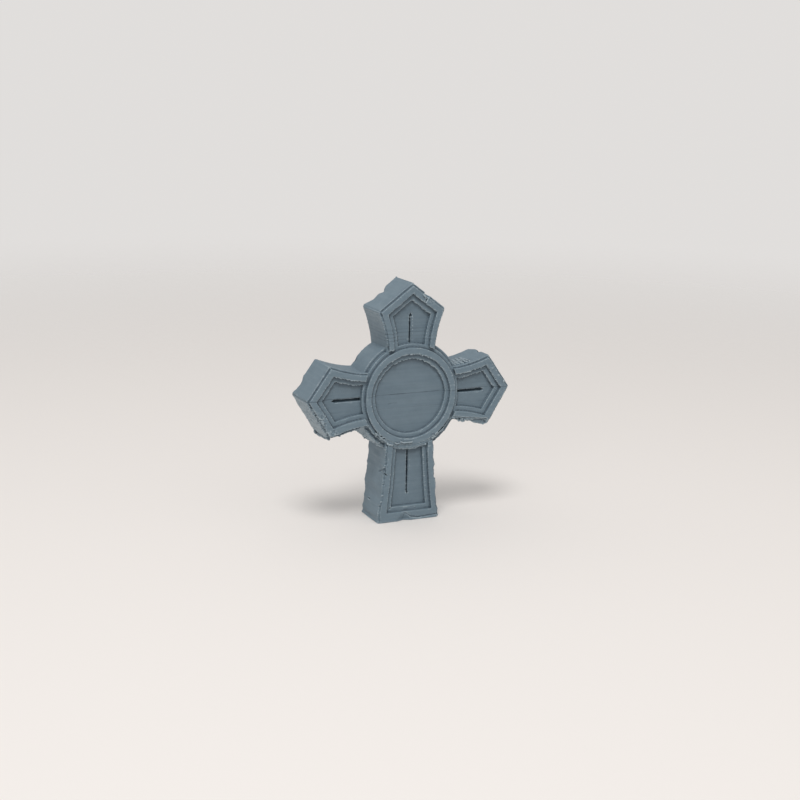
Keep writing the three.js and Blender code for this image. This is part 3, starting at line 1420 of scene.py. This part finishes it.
    def roughen(self, skin: Skin) -> None:
        """Roughens the undersides and the places where the print went wrong.

        Args:
            skin: The skin.
        """
        lumps = self.coarse_lumps.at(skin.points) + self.fine_lumps.at(skin.points)
        skin.push(self.roughness(skin) * lumps + self.grain.at(skin.points))


@dataclass(frozen=True)
class PrintSurface:
    """How the nozzle, the heat and the layers change the skin of the print.

    Attributes:
        soft_rounds: How far the whole skin is softened.
        round_rounds: How far the outer edges are rounded.
        melt_rounds: How far the melted places are smoothed.
        melted: Middles of broken places that are melted smooth, and how far each reaches.
        crease: How far the corners between faces are cut in.
        sag_lip: How far small overhanging lips sag.
        sag_under: How far the long undersides sag.
        sag_strands: Pattern of the strands that sag.
        sag_fine: Finer pattern on top of it.
        wear_fill: How far a worn rabbet is filled on the whole.
        wear_patches: Pattern of patches in that filling.
        wear_rungs: Pattern of single layers in it.
        side_waver: How far the sides of the lower arm waver.
        long_bends: Pattern of that waver.
        short_bends: Shorter pattern on top of it.
        foot_spread: How far the first layers spread on the table.
        foot_even: Share of that spread which is even.
        foot_uneven: Pattern of the rest.
        edge_notch: How far the edges are notched from layer to layer.
        notch_parts: Share, pattern and span of the notches and knobs along the edges.
        notch_ripple: Fine pattern on top of them.
        band_shift: How far layers stand in or out.
        thin_layers: Pattern of single layers.
        thick_layers: Pattern of layers that stand out together.
        layer_drift: Pattern in which the walls drift.
        line_width: Half-width of the single line between layers across the boss.
        line_depth: Least depth of that line.
        line_faint: Pattern in which it fades.
    """

    soft_rounds: int = 1
    round_rounds: int = 3
    melt_rounds: int = 160
    melted: tuple[tuple[Point, float], ...] = (
        ((-3.6, BACK - 0.6, 46.6), 2.4),
        ((-21.4, BACK - 0.6, 28.9), 2.0),
    )
    crease: float = 1.6
    sag_lip: float = 0.26
    sag_under: float = 0.4
    sag_strands: Pattern = Pattern((0.26, 0.9, 9.0), 31)
    sag_fine: Pattern = Pattern((0.5, 0.5, 9.0), 32, 0.4)
    wear_fill: float = 0.55
    wear_patches: Pattern = Pattern((9.0, 9.0, 1.7), 71, 0.4)
    wear_rungs: Pattern = Pattern((9.0, 9.0, 0.22), 72, 0.3)
    side_waver: float = 0.27
    long_bends: Pattern = Pattern((9.0, 7.0, 1.9), 47)
    short_bends: Pattern = Pattern((9.0, 5.0, 0.8), 49, 0.5)
    foot_spread: float = 0.18
    foot_even: float = 0.65
    foot_uneven: Pattern = Pattern((1.1, 1.1, 5.0), 51, 0.35)
    edge_notch: float = 0.15
    notch_parts: tuple[tuple[float, Pattern, Span], ...] = (
        (1.0, Pattern((1.2, 1.2, 0.3), 43), (0.2, 0.8)),
        (0.8, Pattern((2.5, 2.5, 0.8), 45), (0.1, 0.8)),
        (-0.6, Pattern((1.6, 1.6, 0.4), 46), (0.3, 0.9)),
    )
    notch_ripple: Pattern = Pattern((3.0, 3.0, 0.17), 48, 0.5)
    band_shift: float = 0.026
    thin_layers: Pattern = Pattern((9.0, 9.0, 0.26), 41)
    thick_layers: Pattern = Pattern((16.0, 16.0, 1.1), 42, 0.8)
    layer_drift: Pattern = Pattern((6.0, 6.0, 1.7), 47, 0.05)
    line_width: float = 0.1
    line_depth: float = 0.02
    line_faint: Pattern = Pattern((3.0, 3.0, 9.0), 44, 0.5)

    def soften(self, skin: Skin) -> None:
        """Rounds the edges as a nozzle does, and leaves the corners between faces sharp.

        Args:
            skin: The skin.
        """
        skin.points = skin.smoothed(self.soft_rounds)
        outer = ramp(skin.relief(self.round_rounds), 0.0, 0.04)[:, None]
        skin.points += outer * (skin.smoothed(self.round_rounds) - skin.points)
        melted = skin.smoothed(self.melt_rounds)
        for middle, reach in self.melted:
            away = np.linalg.norm(skin.points - np.asarray(middle), axis=1)
            skin.points += below(away, 0.5 * reach, reach)[:, None] * (melted - skin.points)
        skin.push(self.crease * np.minimum(skin.relief(4), 0))

    def sag(self, skin: Skin) -> None:
        """Lets the overhanging lips and undersides hang unevenly.

        Args:
            skin: The skin.
        """
        points = skin.points
        x, y, z = points.T
        under = ramp(-skin.normals()[:, 2], 0.25, 0.75) * ramp(z, 0.6, 2.0)
        slits = below(np.abs(z - BOSS_HEIGHT), 0.7, 1.2)
        side_arms = ramp(np.abs(x), 9.5, 10.5) * below(z, 21.0, 22.0)
        ring_foot = below(np.abs(x), 5.5, 6.5) * below(z, 17.0, 17.6)
        top_lips = ramp(z, 42.0, 43.0) * (0.35 + 0.5 * below(x, -1.0, 0.0))
        under *= (1 - slits) * (1 - 0.65 * side_arms) * (1 - 0.6 * ring_foot) * (1 - top_lips)
        deep = ramp(y, FACE + 1.4, FACE + 2.0)
        uneven = ramp(self.sag_strands.at(points), -0.6, 0.7) + self.sag_fine.at(points)
        amount = self.sag_lip + (self.sag_under - self.sag_lip) * deep
        points[:, 2] -= under * amount * np.clip(uneven, 0, 1.3)

    @staticmethod
    def worn(points: np.ndarray) -> np.ndarray:
        """Tells which places lie in the worn rabbets, at the left of the upright arms.

        Args:
            points: The places, one in each row.

        Returns:
            A value for each, from 0 outside a worn rabbet to 1 inside it.
        """
        heights = np.linspace(0, 50, 251)
        shoulder = BOSS_HEIGHT + SHOULDER_DISTANCE
        halves = [
            foot_half_width(z) if z < BOSS_HEIGHT else top_half_width(min(z, shoulder)) for z in heights
        ]
        x, y, z = points.T
        inward = x + np.interp(z, heights, halves)
        near = ramp(inward, -0.6, -0.2) * below(inward, RABBET_WIDTH, RABBET_WIDTH + 0.3)
        low = below(z, 16.0, 17.0)
        high = ramp(z, 37.0, 38.0) * below(z, 42.5, 44.0)
        front = below(y - FACE, 0.65, 1.5)
        return near * np.maximum(low, high) * front

    def wear(self, skin: Skin) -> None:
        """Fills the worn rabbets unevenly, as the print shows them.

        Args:
            skin: The skin.
        """
        points = skin.points
        patchy = self.wear_fill + self.wear_patches.at(points)
        filled = np.clip(patchy + self.wear_rungs.at(points), 0, 0.9)
        points[:, 1] -= self.worn(points) * filled * (points[:, 1] - FACE)

    def waver(self, skin: Skin) -> None:
        """Lets the sides of the lower arm waver in and out over its height.

        Args:
            skin: The skin.
        """
        points = skin.points
        neck = BOSS_HEIGHT - NECK_DISTANCE
        heights = np.linspace(0, neck, 80)
        halves = [foot_half_width(z) for z in heights]
        side = np.interp(np.minimum(points[:, 2], neck), heights, halves)
        outer = ramp(np.abs(points[:, 0]) - side, -1.3, -0.5) * below(points[:, 2], 14.5, 16.5)
        bend = self.long_bends.at(points) + self.short_bends.at(points)
        points[:, 0] += np.sign(points[:, 0]) * outer * self.side_waver * bend

    def spread_foot(self, skin: Skin) -> None:
        """Spreads the first layers on the table, unevenly.

        Args:
            skin: The skin.
        """
        normals = skin.normals()
        points = skin.points
        low = below(points[:, 2], 0.1, 0.75) * ramp(1 - np.abs(normals[:, 2]), 0.1, 0.6)
        uneven = self.foot_even + self.foot_uneven.at(points)
        points[:, :2] += normals[:, :2] * (low * self.foot_spread * uneven)[:, None]

    def notches(self, points: np.ndarray) -> np.ndarray:
        """Gives the pattern of notches along the edges.

        Args:
            points: Places, one row each.

        Returns:
            How far each place is notched, as a share of the deepest notch.
        """
        notch = sum(share * ramp(part.at(points), *span) for share, part, span in self.notch_parts)
        return notch + self.notch_ripple.at(points)

    def band(self, skin: Skin) -> None:
        """Shifts the layers a little against each other and notches the edges between them.

        Args:
            skin: The skin.
        """
        normals = skin.normals()
        points = skin.points
        wall = ramp(1 - np.abs(normals[:, 2]), 0.2, 0.7)
        side = ramp(np.abs(normals[:, 0]) + ramp(normals[:, 1], 0.2, 0.6), 0.2, 0.7)
        layers = self.thin_layers.at(points) + self.thick_layers.at(points)
        shift = self.band_shift * layers + self.layer_drift.at(points)
        edge = ramp(skin.relief(8), 0.01, 0.06)
        push = wall * (0.35 + 0.65 * side) * shift - edge * self.edge_notch * self.notches(points)
        points += normals * push[:, None]
        line = np.exp(-(((points[:, 2] - LAYER_LINE_HEIGHT) / self.line_width) ** 2))
        faint = 0.5 + self.line_faint.at(points)
        points -= normals * (wall * line * (self.line_depth + self.line_depth * faint))[:, None]


@dataclass(frozen=True)
class ToneMasks:
    """The values in the mesh that tell the plastic where to paint highlight and shade, and where it is
    rastered or rough.

    Attributes:
        NAMES: Names of the values.
        relief_rounds: How often the skin is smoothed to find its edges and creases.
        edge_relief: Relief at which an edge's painted highlight starts to show and shows fully.
        crease_relief: The same for a crease's painted shade.
        floor_facing: How far a floor faces the front where it starts to count and counts fully.
        floor_depth: How deep behind the face it does so.
        floor_share: How deep the painted shade on a panel's floor shows.
        crease_share: How deep the painted shade in a crease shows.
        thread_highlight_share: How pale the painted highlight on a pale thread shows.
        upward_slope: Slope at which a face starts to count as upward and counts fully.
        under_slope: The same for an underside, which takes painted light.
        under_height: Heights between which undersides start to count.
        rough_span: Roughness at which specks start to show and show fully.
        rough_share: How strongly rough places are speckled.
        back_rim: How far before the back the edges' painted highlight starts to show and shows fully.
        shut_reach: How far away something still counts as shutting a place in.
        shut_span: How closely shut in a place starts to take painted shade and takes the most.
        shut_share: How deep that painted shade then shows.
        cover_ways: Ways towards the light above and to the left, in which a lip is looked for that casts
            painted shadow on a place.
        cover_span: How far covered a place starts to take painted shadow and takes the most.
        lip_shadow_share: How deep that painted shadow then shows.
        worn_share: How much less painted shade a worn rabbet takes.
        rays: Rings of rays that look round a place: lean in degrees, how many, and share of a step turned.
        ray_start: How far out of the surface a search starts.
    """

    NAMES: ClassVar[tuple[str, ...]] = ("edge", "painted_shade", "upward", "under", "rough")

    relief_rounds: int = 5
    edge_relief: Span = (0.011, 0.036)
    crease_relief: Span = (0.008, 0.035)
    floor_facing: Span = (0.6, 0.9)
    floor_depth: Span = (0.75, 1.05)
    floor_share: float = 0.1
    crease_share: float = 0.8
    thread_highlight_share: float = 0.8
    upward_slope: Span = (0.7, 0.9)
    under_slope: Span = (0.2, 0.6)
    under_height: Span = (0.8, 2.0)
    rough_span: Span = (0.03, 0.1)
    rough_share: float = 0.6
    back_rim: Span = (0.25, 0.5)
    shut_reach: float = 1.3
    shut_span: Span = (0.06, 0.5)
    shut_share: float = 0.6
    # Ways towards the light above and to the left, for the painted shadow under lips.
    cover_ways: tuple[Point, ...] = (
        (-0.66, -0.75, 0.0),
        (-0.60, -0.72, 0.35),
        (-0.42, -0.68, 0.6),
        (-0.2, -0.68, 0.7),
        (0.0, -0.7, 0.71),
        (-0.2, -0.55, 0.81),
        (-0.1, -0.45, 0.89),
    )
    cover_span: Span = (0.0, 0.45)
    lip_shadow_share: float = 0.5
    worn_share: float = 0.6
    rays: tuple[tuple[float, int, float], ...] = ((0.0, 1, 0.0), (35.0, 5, 0.0), (65.0, 8, 0.5))
    ray_start: float = 0.04

    def closeness(self, mesh: bpy.types.Mesh, tree: BVHTree) -> np.ndarray:
        """Gives how closely each corner of a mesh is shut in by what is around it.

        Args:
            mesh: The mesh, in millimetres.
            tree: Search tree of its faces.

        Returns:
            A value for each corner, from 0 in the open to 1 in a narrow slit.
        """
        rays = [
            (math.radians(lean), 2 * math.pi * (step + turned) / count)
            for lean, count, turned in self.rays
            for step in range(count)
        ]
        weights = [math.cos(lean) for lean, _ in rays]
        shut = np.zeros(len(mesh.vertices))
        for number, corner in enumerate(mesh.vertices):
            out = corner.normal
            across = out.orthogonal().normalized()
            up = out.cross(across)
            start = corner.co + self.ray_start * out
            for (lean, turn), weight in zip(rays, weights):
                aside = math.cos(turn) * across + math.sin(turn) * up
                way = math.cos(lean) * out + math.sin(lean) * aside
                away = tree.ray_cast(start, way, self.shut_reach)[3]
                if away is not None:
                    shut[number] += weight * (1 - away / self.shut_reach)
        return shut / sum(weights)

    def painted_lip_shadow(self, mesh: bpy.types.Mesh, tree: BVHTree) -> np.ndarray:
        """Gives how far the lips above and to the left of each corner of the front shade it from the light
        there, for the painted shadow.

        Args:
            mesh: The mesh, in millimetres.
            tree: Search tree of its faces.

        Returns:
            A value for each corner, from 0 in the open to 1 under a lip.
        """
        ways = [Vector(way).normalized() for way in self.cover_ways]
        covered = np.zeros(len(mesh.vertices))
        for number, corner in enumerate(mesh.vertices):
            if corner.co.y > FACE + FRONT_DEPTH or corner.normal.y > -0.5:
                continue
            start = corner.co + self.ray_start * corner.normal
            hits = [tree.ray_cast(start, way, self.shut_reach)[3] is not None for way in ways]
            covered[number] = sum(hits) / len(ways)
        return covered

    def on_skin(self, skin: Skin, rough: np.ndarray) -> dict[str, np.ndarray]:
        """Works out the values that the full skin gives.

        Args:
            skin: The full skin.
            rough: How rough it is at each corner.

        Returns:
            The values at each corner, by name.
        """
        normals = skin.normals()
        points = skin.points
        relief = skin.relief(self.relief_rounds)
        # Painted shade on recessed panel floors and in creases.
        floor = ramp(-normals[:, 1], *self.floor_facing) * ramp(points[:, 1] - FACE, *self.floor_depth)
        creases = ramp(-relief, *self.crease_relief)
        before_back = ramp(BACK - points[:, 1], *self.back_rim)
        return {
            # Painted highlight on edges, not on the back rim.
            "edge": ramp(relief, *self.edge_relief) * before_back,
            "painted_shade": np.maximum(self.floor_share * floor, self.crease_share * creases),
            "upward": ramp(normals[:, 2], *self.upward_slope),
            # Painted light on undersides.
            "under": ramp(-normals[:, 2], *self.under_slope) * ramp(points[:, 2], *self.under_height),
            "rough": self.rough_share * ramp(rough, *self.rough_span),
        }

    def store(self, skin: Skin, rough: np.ndarray, threads: list[ThreadPath], mesh: bpy.types.Mesh) -> None:
        """Stores the values in the finished mesh.

        Args:
            skin: The full skin.
            rough: How rough it is at each corner.
            threads: The threads on it.
            mesh: The thinned mesh of it, in millimetres.
        """
        nearby = KDTree(len(skin.points))
        for number, point in enumerate(skin.points):
            nearby.insert(point, number)
        nearby.balance()
        nearest = np.array([nearby.find(corner.co)[1] for corner in mesh.vertices])
        values = {name: on_skin[nearest] for name, on_skin in self.on_skin(skin, rough).items()}
        corners = np.array([corner.co for corner in mesh.vertices])
        # Painted highlight on the pale threads, which also takes the painted shade off them.
        for path in threads:
            if path.pale:
                bright = self.thread_highlight_share * below(path.away(corners), 0.8 * path.radius, 1.2 * path.radius)
                values["edge"] = np.maximum(values["edge"], bright)
                values["painted_shade"] *= 1 - bright
        places = [corner.co for corner in mesh.vertices]
        tree = BVHTree.FromPolygons(places, [face.vertices for face in mesh.polygons])
        # Painted shade where a corner is shut in by what is around it.
        open_share = 1 - self.shut_share * ramp(self.closeness(mesh, tree), *self.shut_span)
        # Painted shadow where a lip above and to the left shades the corner from the light.
        open_share *= 1 - self.lip_shadow_share * ramp(self.painted_lip_shadow(mesh, tree), *self.cover_span)
        values["painted_shade"] = 1 - (1 - values["painted_shade"]) * open_share
        # Less painted shade in the worn rabbets.
        values["painted_shade"] *= 1 - self.worn_share * PrintSurface.worn(corners)
        for name in self.NAMES:
            layer = mesh.attributes.new(name, "FLOAT", "POINT")
            layer.data.foreach_set("value", values[name].astype(np.float32))


@dataclass(frozen=True)
class PrintedCross:
    """The whole print: the solid's form with its threads, beads, sags, bands and broken edges.

    Attributes:
        finish: The plastic.
        loose: The threads and beads that stand on it.
        surface: How printing changes its skin.
        faults: Its broken and rough places.
        tones: The values that tell the plastic where to paint highlight and shade, and how to look.
        skin_step: Size of the skin's faces.
        plain_triangles: Most triangles behind the moulded front.
        most_triangles: Most triangles of the finished mesh.
        normal_weight: How much more large faces count in the shading.
    """

    finish: PlasticFinish = field(default_factory=PlasticFinish)
    loose: LooseThreads = field(default_factory=LooseThreads)
    surface: PrintSurface = field(default_factory=PrintSurface)
    faults: PrintFaults = field(default_factory=PrintFaults)
    tones: ToneMasks = field(default_factory=ToneMasks)
    skin_step: float = 0.1
    plain_triangles: int = 60000
    most_triangles: int = 190000
    normal_weight: int = 80

    def joined(self, material: bpy.types.Material) -> bpy.types.Mesh:
        """Joins a copy of the solid with the threads and beads.

        Args:
            material: The plastic.

        Returns:
            One mesh of overlapping closed shells, in millimetres.
        """
        join = bmesh.new()
        join.from_mesh(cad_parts[NODE].data)
        bmesh.ops.remove_doubles(join, verts=join.verts, dist=1e-6)
        bmesh.ops.scale(join, vec=(1 / MILLIMETRE,) * 3, verts=join.verts)
        for shell in self.loose.shells(material):
            join.from_mesh(shell)
            bpy.data.meshes.remove(shell)
        mesh = bpy.data.meshes.new("joined")
        join.to_mesh(mesh)
        join.free()
        return mesh

    def skinned(self, mesh: bpy.types.Mesh) -> Skin:
        """Skins a mesh of overlapping shells with small even faces.

        Args:
            mesh: The mesh, which is used up.

        Returns:
            The skin.
        """
        holder = linked("skinning", mesh)
        remesh = holder.modifiers.new("skin", "REMESH")
        remesh.mode = "VOXEL"
        remesh.voxel_size = self.skin_step
        full = plain_mesh(holder, "skinned")
        skin = Skin.of(full).largest()
        bpy.data.meshes.remove(full)
        return skin

    def shaped(self, skin: Skin) -> None:
        """Gives a skin everything that printing and wear did to the real one.

        Args:
            skin: The skin.
        """
        self.surface.soften(skin)
        self.surface.sag(skin)
        self.faults.roughen(skin)
        self.surface.wear(skin)
        self.surface.waver(skin)
        self.surface.spread_foot(skin)
        self.faults.put(skin)
        self.surface.band(skin)
        skin.points[:, 2] = np.maximum(skin.points[:, 2], 0)

    def thinned(self, mesh: bpy.types.Mesh) -> bpy.types.Mesh:
        """Takes faces out of a mesh until it has few enough, most of them behind the moulded front.

        Args:
            mesh: The full mesh, in millimetres, which is used up.

        Returns:
            The thinned mesh.
        """
        triangles = 2 * len(mesh.polygons)
        behind = [corner.index for corner in mesh.vertices if corner.co.y > FACE + FRONT_DEPTH]
        plain = 2 * len(behind)
        holder = linked("thinning", mesh)
        group = holder.vertex_groups.new(name="behind")
        group.add(behind, 1.0, "REPLACE")
        coarser = holder.modifiers.new("coarser", "DECIMATE")
        coarser.vertex_group = group.name
        coarser.ratio = min(1.0, (triangles - plain + self.plain_triangles) / triangles)
        fewer = holder.modifiers.new("fewer", "DECIMATE")
        fewer.ratio = min(1.0, self.most_triangles / (coarser.ratio * triangles))
        crisp = holder.modifiers.new("crisp", "WEIGHTED_NORMAL")
        crisp.mode = "FACE_AREA"
        crisp.weight = self.normal_weight
        return plain_mesh(holder, "printed_cross")

    def build(self) -> bpy.types.Object:
        """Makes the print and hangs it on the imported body.

        Returns:
            The finished piece.
        """
        material = self.finish.material("blue_grey_print")
        skin = self.skinned(self.joined(material))
        LOG.info("skin of %d faces", len(skin.quads))
        self.shaped(skin)
        mesh = self.thinned(skin.mesh("skin"))
        mesh.materials.clear()
        mesh.materials.append(material)
        self.tones.store(skin, self.faults.roughness(skin), self.loose.threads(), mesh)
        mesh.transform(Matrix.Scale(MILLIMETRE, 4))
        piece = linked("cross_headstone_print", mesh)
        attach(piece, BODY)
        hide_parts(NODE)
        return piece


@dataclass(frozen=True)
class Lamp:
    """A round soft light that shines at the middle of the object.

    Attributes:
        name: Its name.
        way: Direction from the object to it.
        distance: How far away it is.
        width: Its width.
        power: Its power in watts.
    """

    name: str
    way: Point
    distance: float
    width: float
    power: float


@dataclass(frozen=True)
class Studio:
    """The table, the light and the camera.

    Attributes:
        azimuth: Degrees that the camera stands round from the front, to the left if negative.
        elevation: Degrees that it looks down.
        roll: Degrees that it is tilted.
        distance: Distance from the camera to its target.
        target: Place that it looks at.
        lens: Focal length for a picture as wide as the sensor.
        sensor: Width of the sensor.
        clip: Least and most distance that the camera sees, in metres.
        lamps: The soft lights.
        sky: Colour of the light from all round.
        sky_strength: Its strength at the horizon and overhead.
        backdrop_strength: How bright the surroundings show behind the table.
        table_colour: Colour of the table.
        table_roughness: Roughness of the table.
        table_shine: How much the table shines.
        table_radius: Radius of the table.
        table_sides: How many sides its round edge has.
        fade: Radii between which the table fades into the surroundings.
    """

    azimuth: float = -24.88
    elevation: float = 13.16
    roll: float = 1.14
    distance: float = 300.0
    target: Point = (-2.6, FACE, 26.01)
    lens: float = 66.06
    sensor: float = 36.0
    clip: Span = (0.01, 20.0)
    lamps: tuple[Lamp, ...] = (
        Lamp("soft_light", (-0.234, -0.401, 0.886), 600.0, 240.0, 1.53),
        Lamp("front_light", (-0.66, -0.66, 0.36), 600.0, 160.0, 0.18),
    )
    sky: Point = (1.0, 0.975, 0.955)
    sky_strength: Span = (0.40, 0.74)
    backdrop_strength: float = 0.75
    table_colour: Point = (0.845, 0.822, 0.803)
    table_roughness: float = 0.75
    table_shine: float = 0.15
    table_radius: float = 900.0
    table_sides: int = 96
    fade: Span = (110.0, 500.0)

    def camera(self) -> None:
        """Places the camera where the photograph was taken from."""
        turn, rise, tilt = (math.radians(value) for value in (self.azimuth, self.elevation, self.roll))
        back = Vector((math.sin(turn) * math.cos(rise), -math.cos(turn) * math.cos(rise), math.sin(rise)))
        right = (-back).cross(Vector((0, 0, 1))).normalized()
        up = right.cross(-back)
        across = math.cos(tilt) * right + math.sin(tilt) * up
        upright = math.cos(tilt) * up - math.sin(tilt) * right
        data = bpy.data.cameras.new("camera")
        data.lens = self.lens
        data.sensor_width = self.sensor
        data.clip_start = self.clip[0]
        data.clip_end = self.clip[1]
        camera = linked("camera", data)
        turned = Matrix((across, upright, back)).transposed().to_4x4()
        turned.translation = (Vector(self.target) + back * self.distance) * MILLIMETRE
        camera.matrix_world = turned
        bpy.context.scene.camera = camera

    def hang(self, lamp: Lamp) -> None:
        """Hangs one soft light.

        Args:
            lamp: The light.
        """
        data = bpy.data.lights.new(lamp.name, "AREA")
        data.shape = "DISK"
        data.size = lamp.width * MILLIMETRE
        data.energy = lamp.power
        data.color = self.sky
        hung = linked(lamp.name, data)
        way = Vector(lamp.way).normalized()
        middle = Vector((0, 0, BOSS_HEIGHT)) * MILLIMETRE
        hung.location = middle + way * lamp.distance * MILLIMETRE
        hung.rotation_euler = way.to_track_quat("Z", "Y").to_euler()

    def room(self) -> None:
        """Lights the room from all round, more from overhead, before an even backdrop."""
        world = bpy.data.worlds.new("room")
        bpy.context.scene.world = world
        world.use_nodes = True
        nodes, links = world.node_tree.nodes, world.node_tree.links
        sky = nodes["Background"]
        sky.inputs["Color"].default_value = (*self.sky, 1)
        way = nodes.new("ShaderNodeTexCoord")
        parts = nodes.new("ShaderNodeSeparateXYZ")
        links.new(way.outputs["Generated"], parts.inputs[0])
        rise = nodes.new("ShaderNodeMapRange")
        rise.inputs["To Min"].default_value = self.sky_strength[0]
        rise.inputs["To Max"].default_value = self.sky_strength[1]
        links.new(parts.outputs[2], rise.inputs["Value"])
        links.new(rise.outputs[0], sky.inputs["Strength"])
        shown = nodes.new("ShaderNodeBackground")
        shown.inputs["Color"].default_value = (*self.sky, 1)
        shown.inputs["Strength"].default_value = self.backdrop_strength
        path = nodes.new("ShaderNodeLightPath")
        mix = nodes.new("ShaderNodeMixShader")
        links.new(path.outputs["Is Camera Ray"], mix.inputs[0])
        links.new(sky.outputs[0], mix.inputs[1])
        links.new(shown.outputs[0], mix.inputs[2])
        links.new(mix.outputs[0], nodes["World Output"].inputs["Surface"])

    def table_material(self) -> bpy.types.Material:
        """Builds the material of the table, which fades out with distance.

        Returns:
            The material.
        """
        material = bpy.data.materials.new("pale_table")
        material.use_nodes = True
        tree = material.node_tree
        shader = tree.nodes["Principled BSDF"]
        shader.inputs["Base Color"].default_value = (*self.table_colour, 1)
        shader.inputs["Roughness"].default_value = self.table_roughness
        shader.inputs["Specular IOR Level"].default_value = self.table_shine
        place = tree.nodes.new("ShaderNodeTexCoord")
        away = tree.nodes.new("ShaderNodeVectorMath")
        away.operation = "LENGTH"
        tree.links.new(place.outputs["Object"], away.inputs[0])
        fade = tree.nodes.new("ShaderNodeMapRange")
        fade.interpolation_type = "SMOOTHSTEP"
        fade.inputs["From Min"].default_value = self.fade[0] * MILLIMETRE
        fade.inputs["From Max"].default_value = self.fade[1] * MILLIMETRE
        fade.inputs["To Min"].default_value = 1
        fade.inputs["To Max"].default_value = 0
        tree.links.new(away.outputs["Value"], fade.inputs["Value"])
        tree.links.new(fade.outputs[0], shader.inputs["Alpha"])
        return material

    def table(self) -> None:
        """Lays a plain pale table that fades into its surroundings."""
        mesh = bpy.data.meshes.new("table")
        disc = bmesh.new()
        radius = self.table_radius * MILLIMETRE
        bmesh.ops.create_circle(disc, cap_ends=True, segments=self.table_sides, radius=radius)
        disc.to_mesh(mesh)
        disc.free()
        mesh.materials.append(self.table_material())
        linked("table", mesh)

    def build(self) -> None:
        """Sets up the whole studio."""
        bpy.context.scene.view_settings.view_transform = "Standard"
        self.camera()
        for lamp in self.lamps:
            self.hang(lamp)
        self.room()
        self.table()


def main() -> None:
    """Builds the studio and the print, and reports the piece."""
    logging.basicConfig(level=logging.INFO, format="%(name)s: %(message)s")
    Studio().build()
    piece = PrintedCross().build()
    LOG.info("%s: %d faces", piece.name, len(piece.data.polygons))


if __name__ == "__main__":
    main()
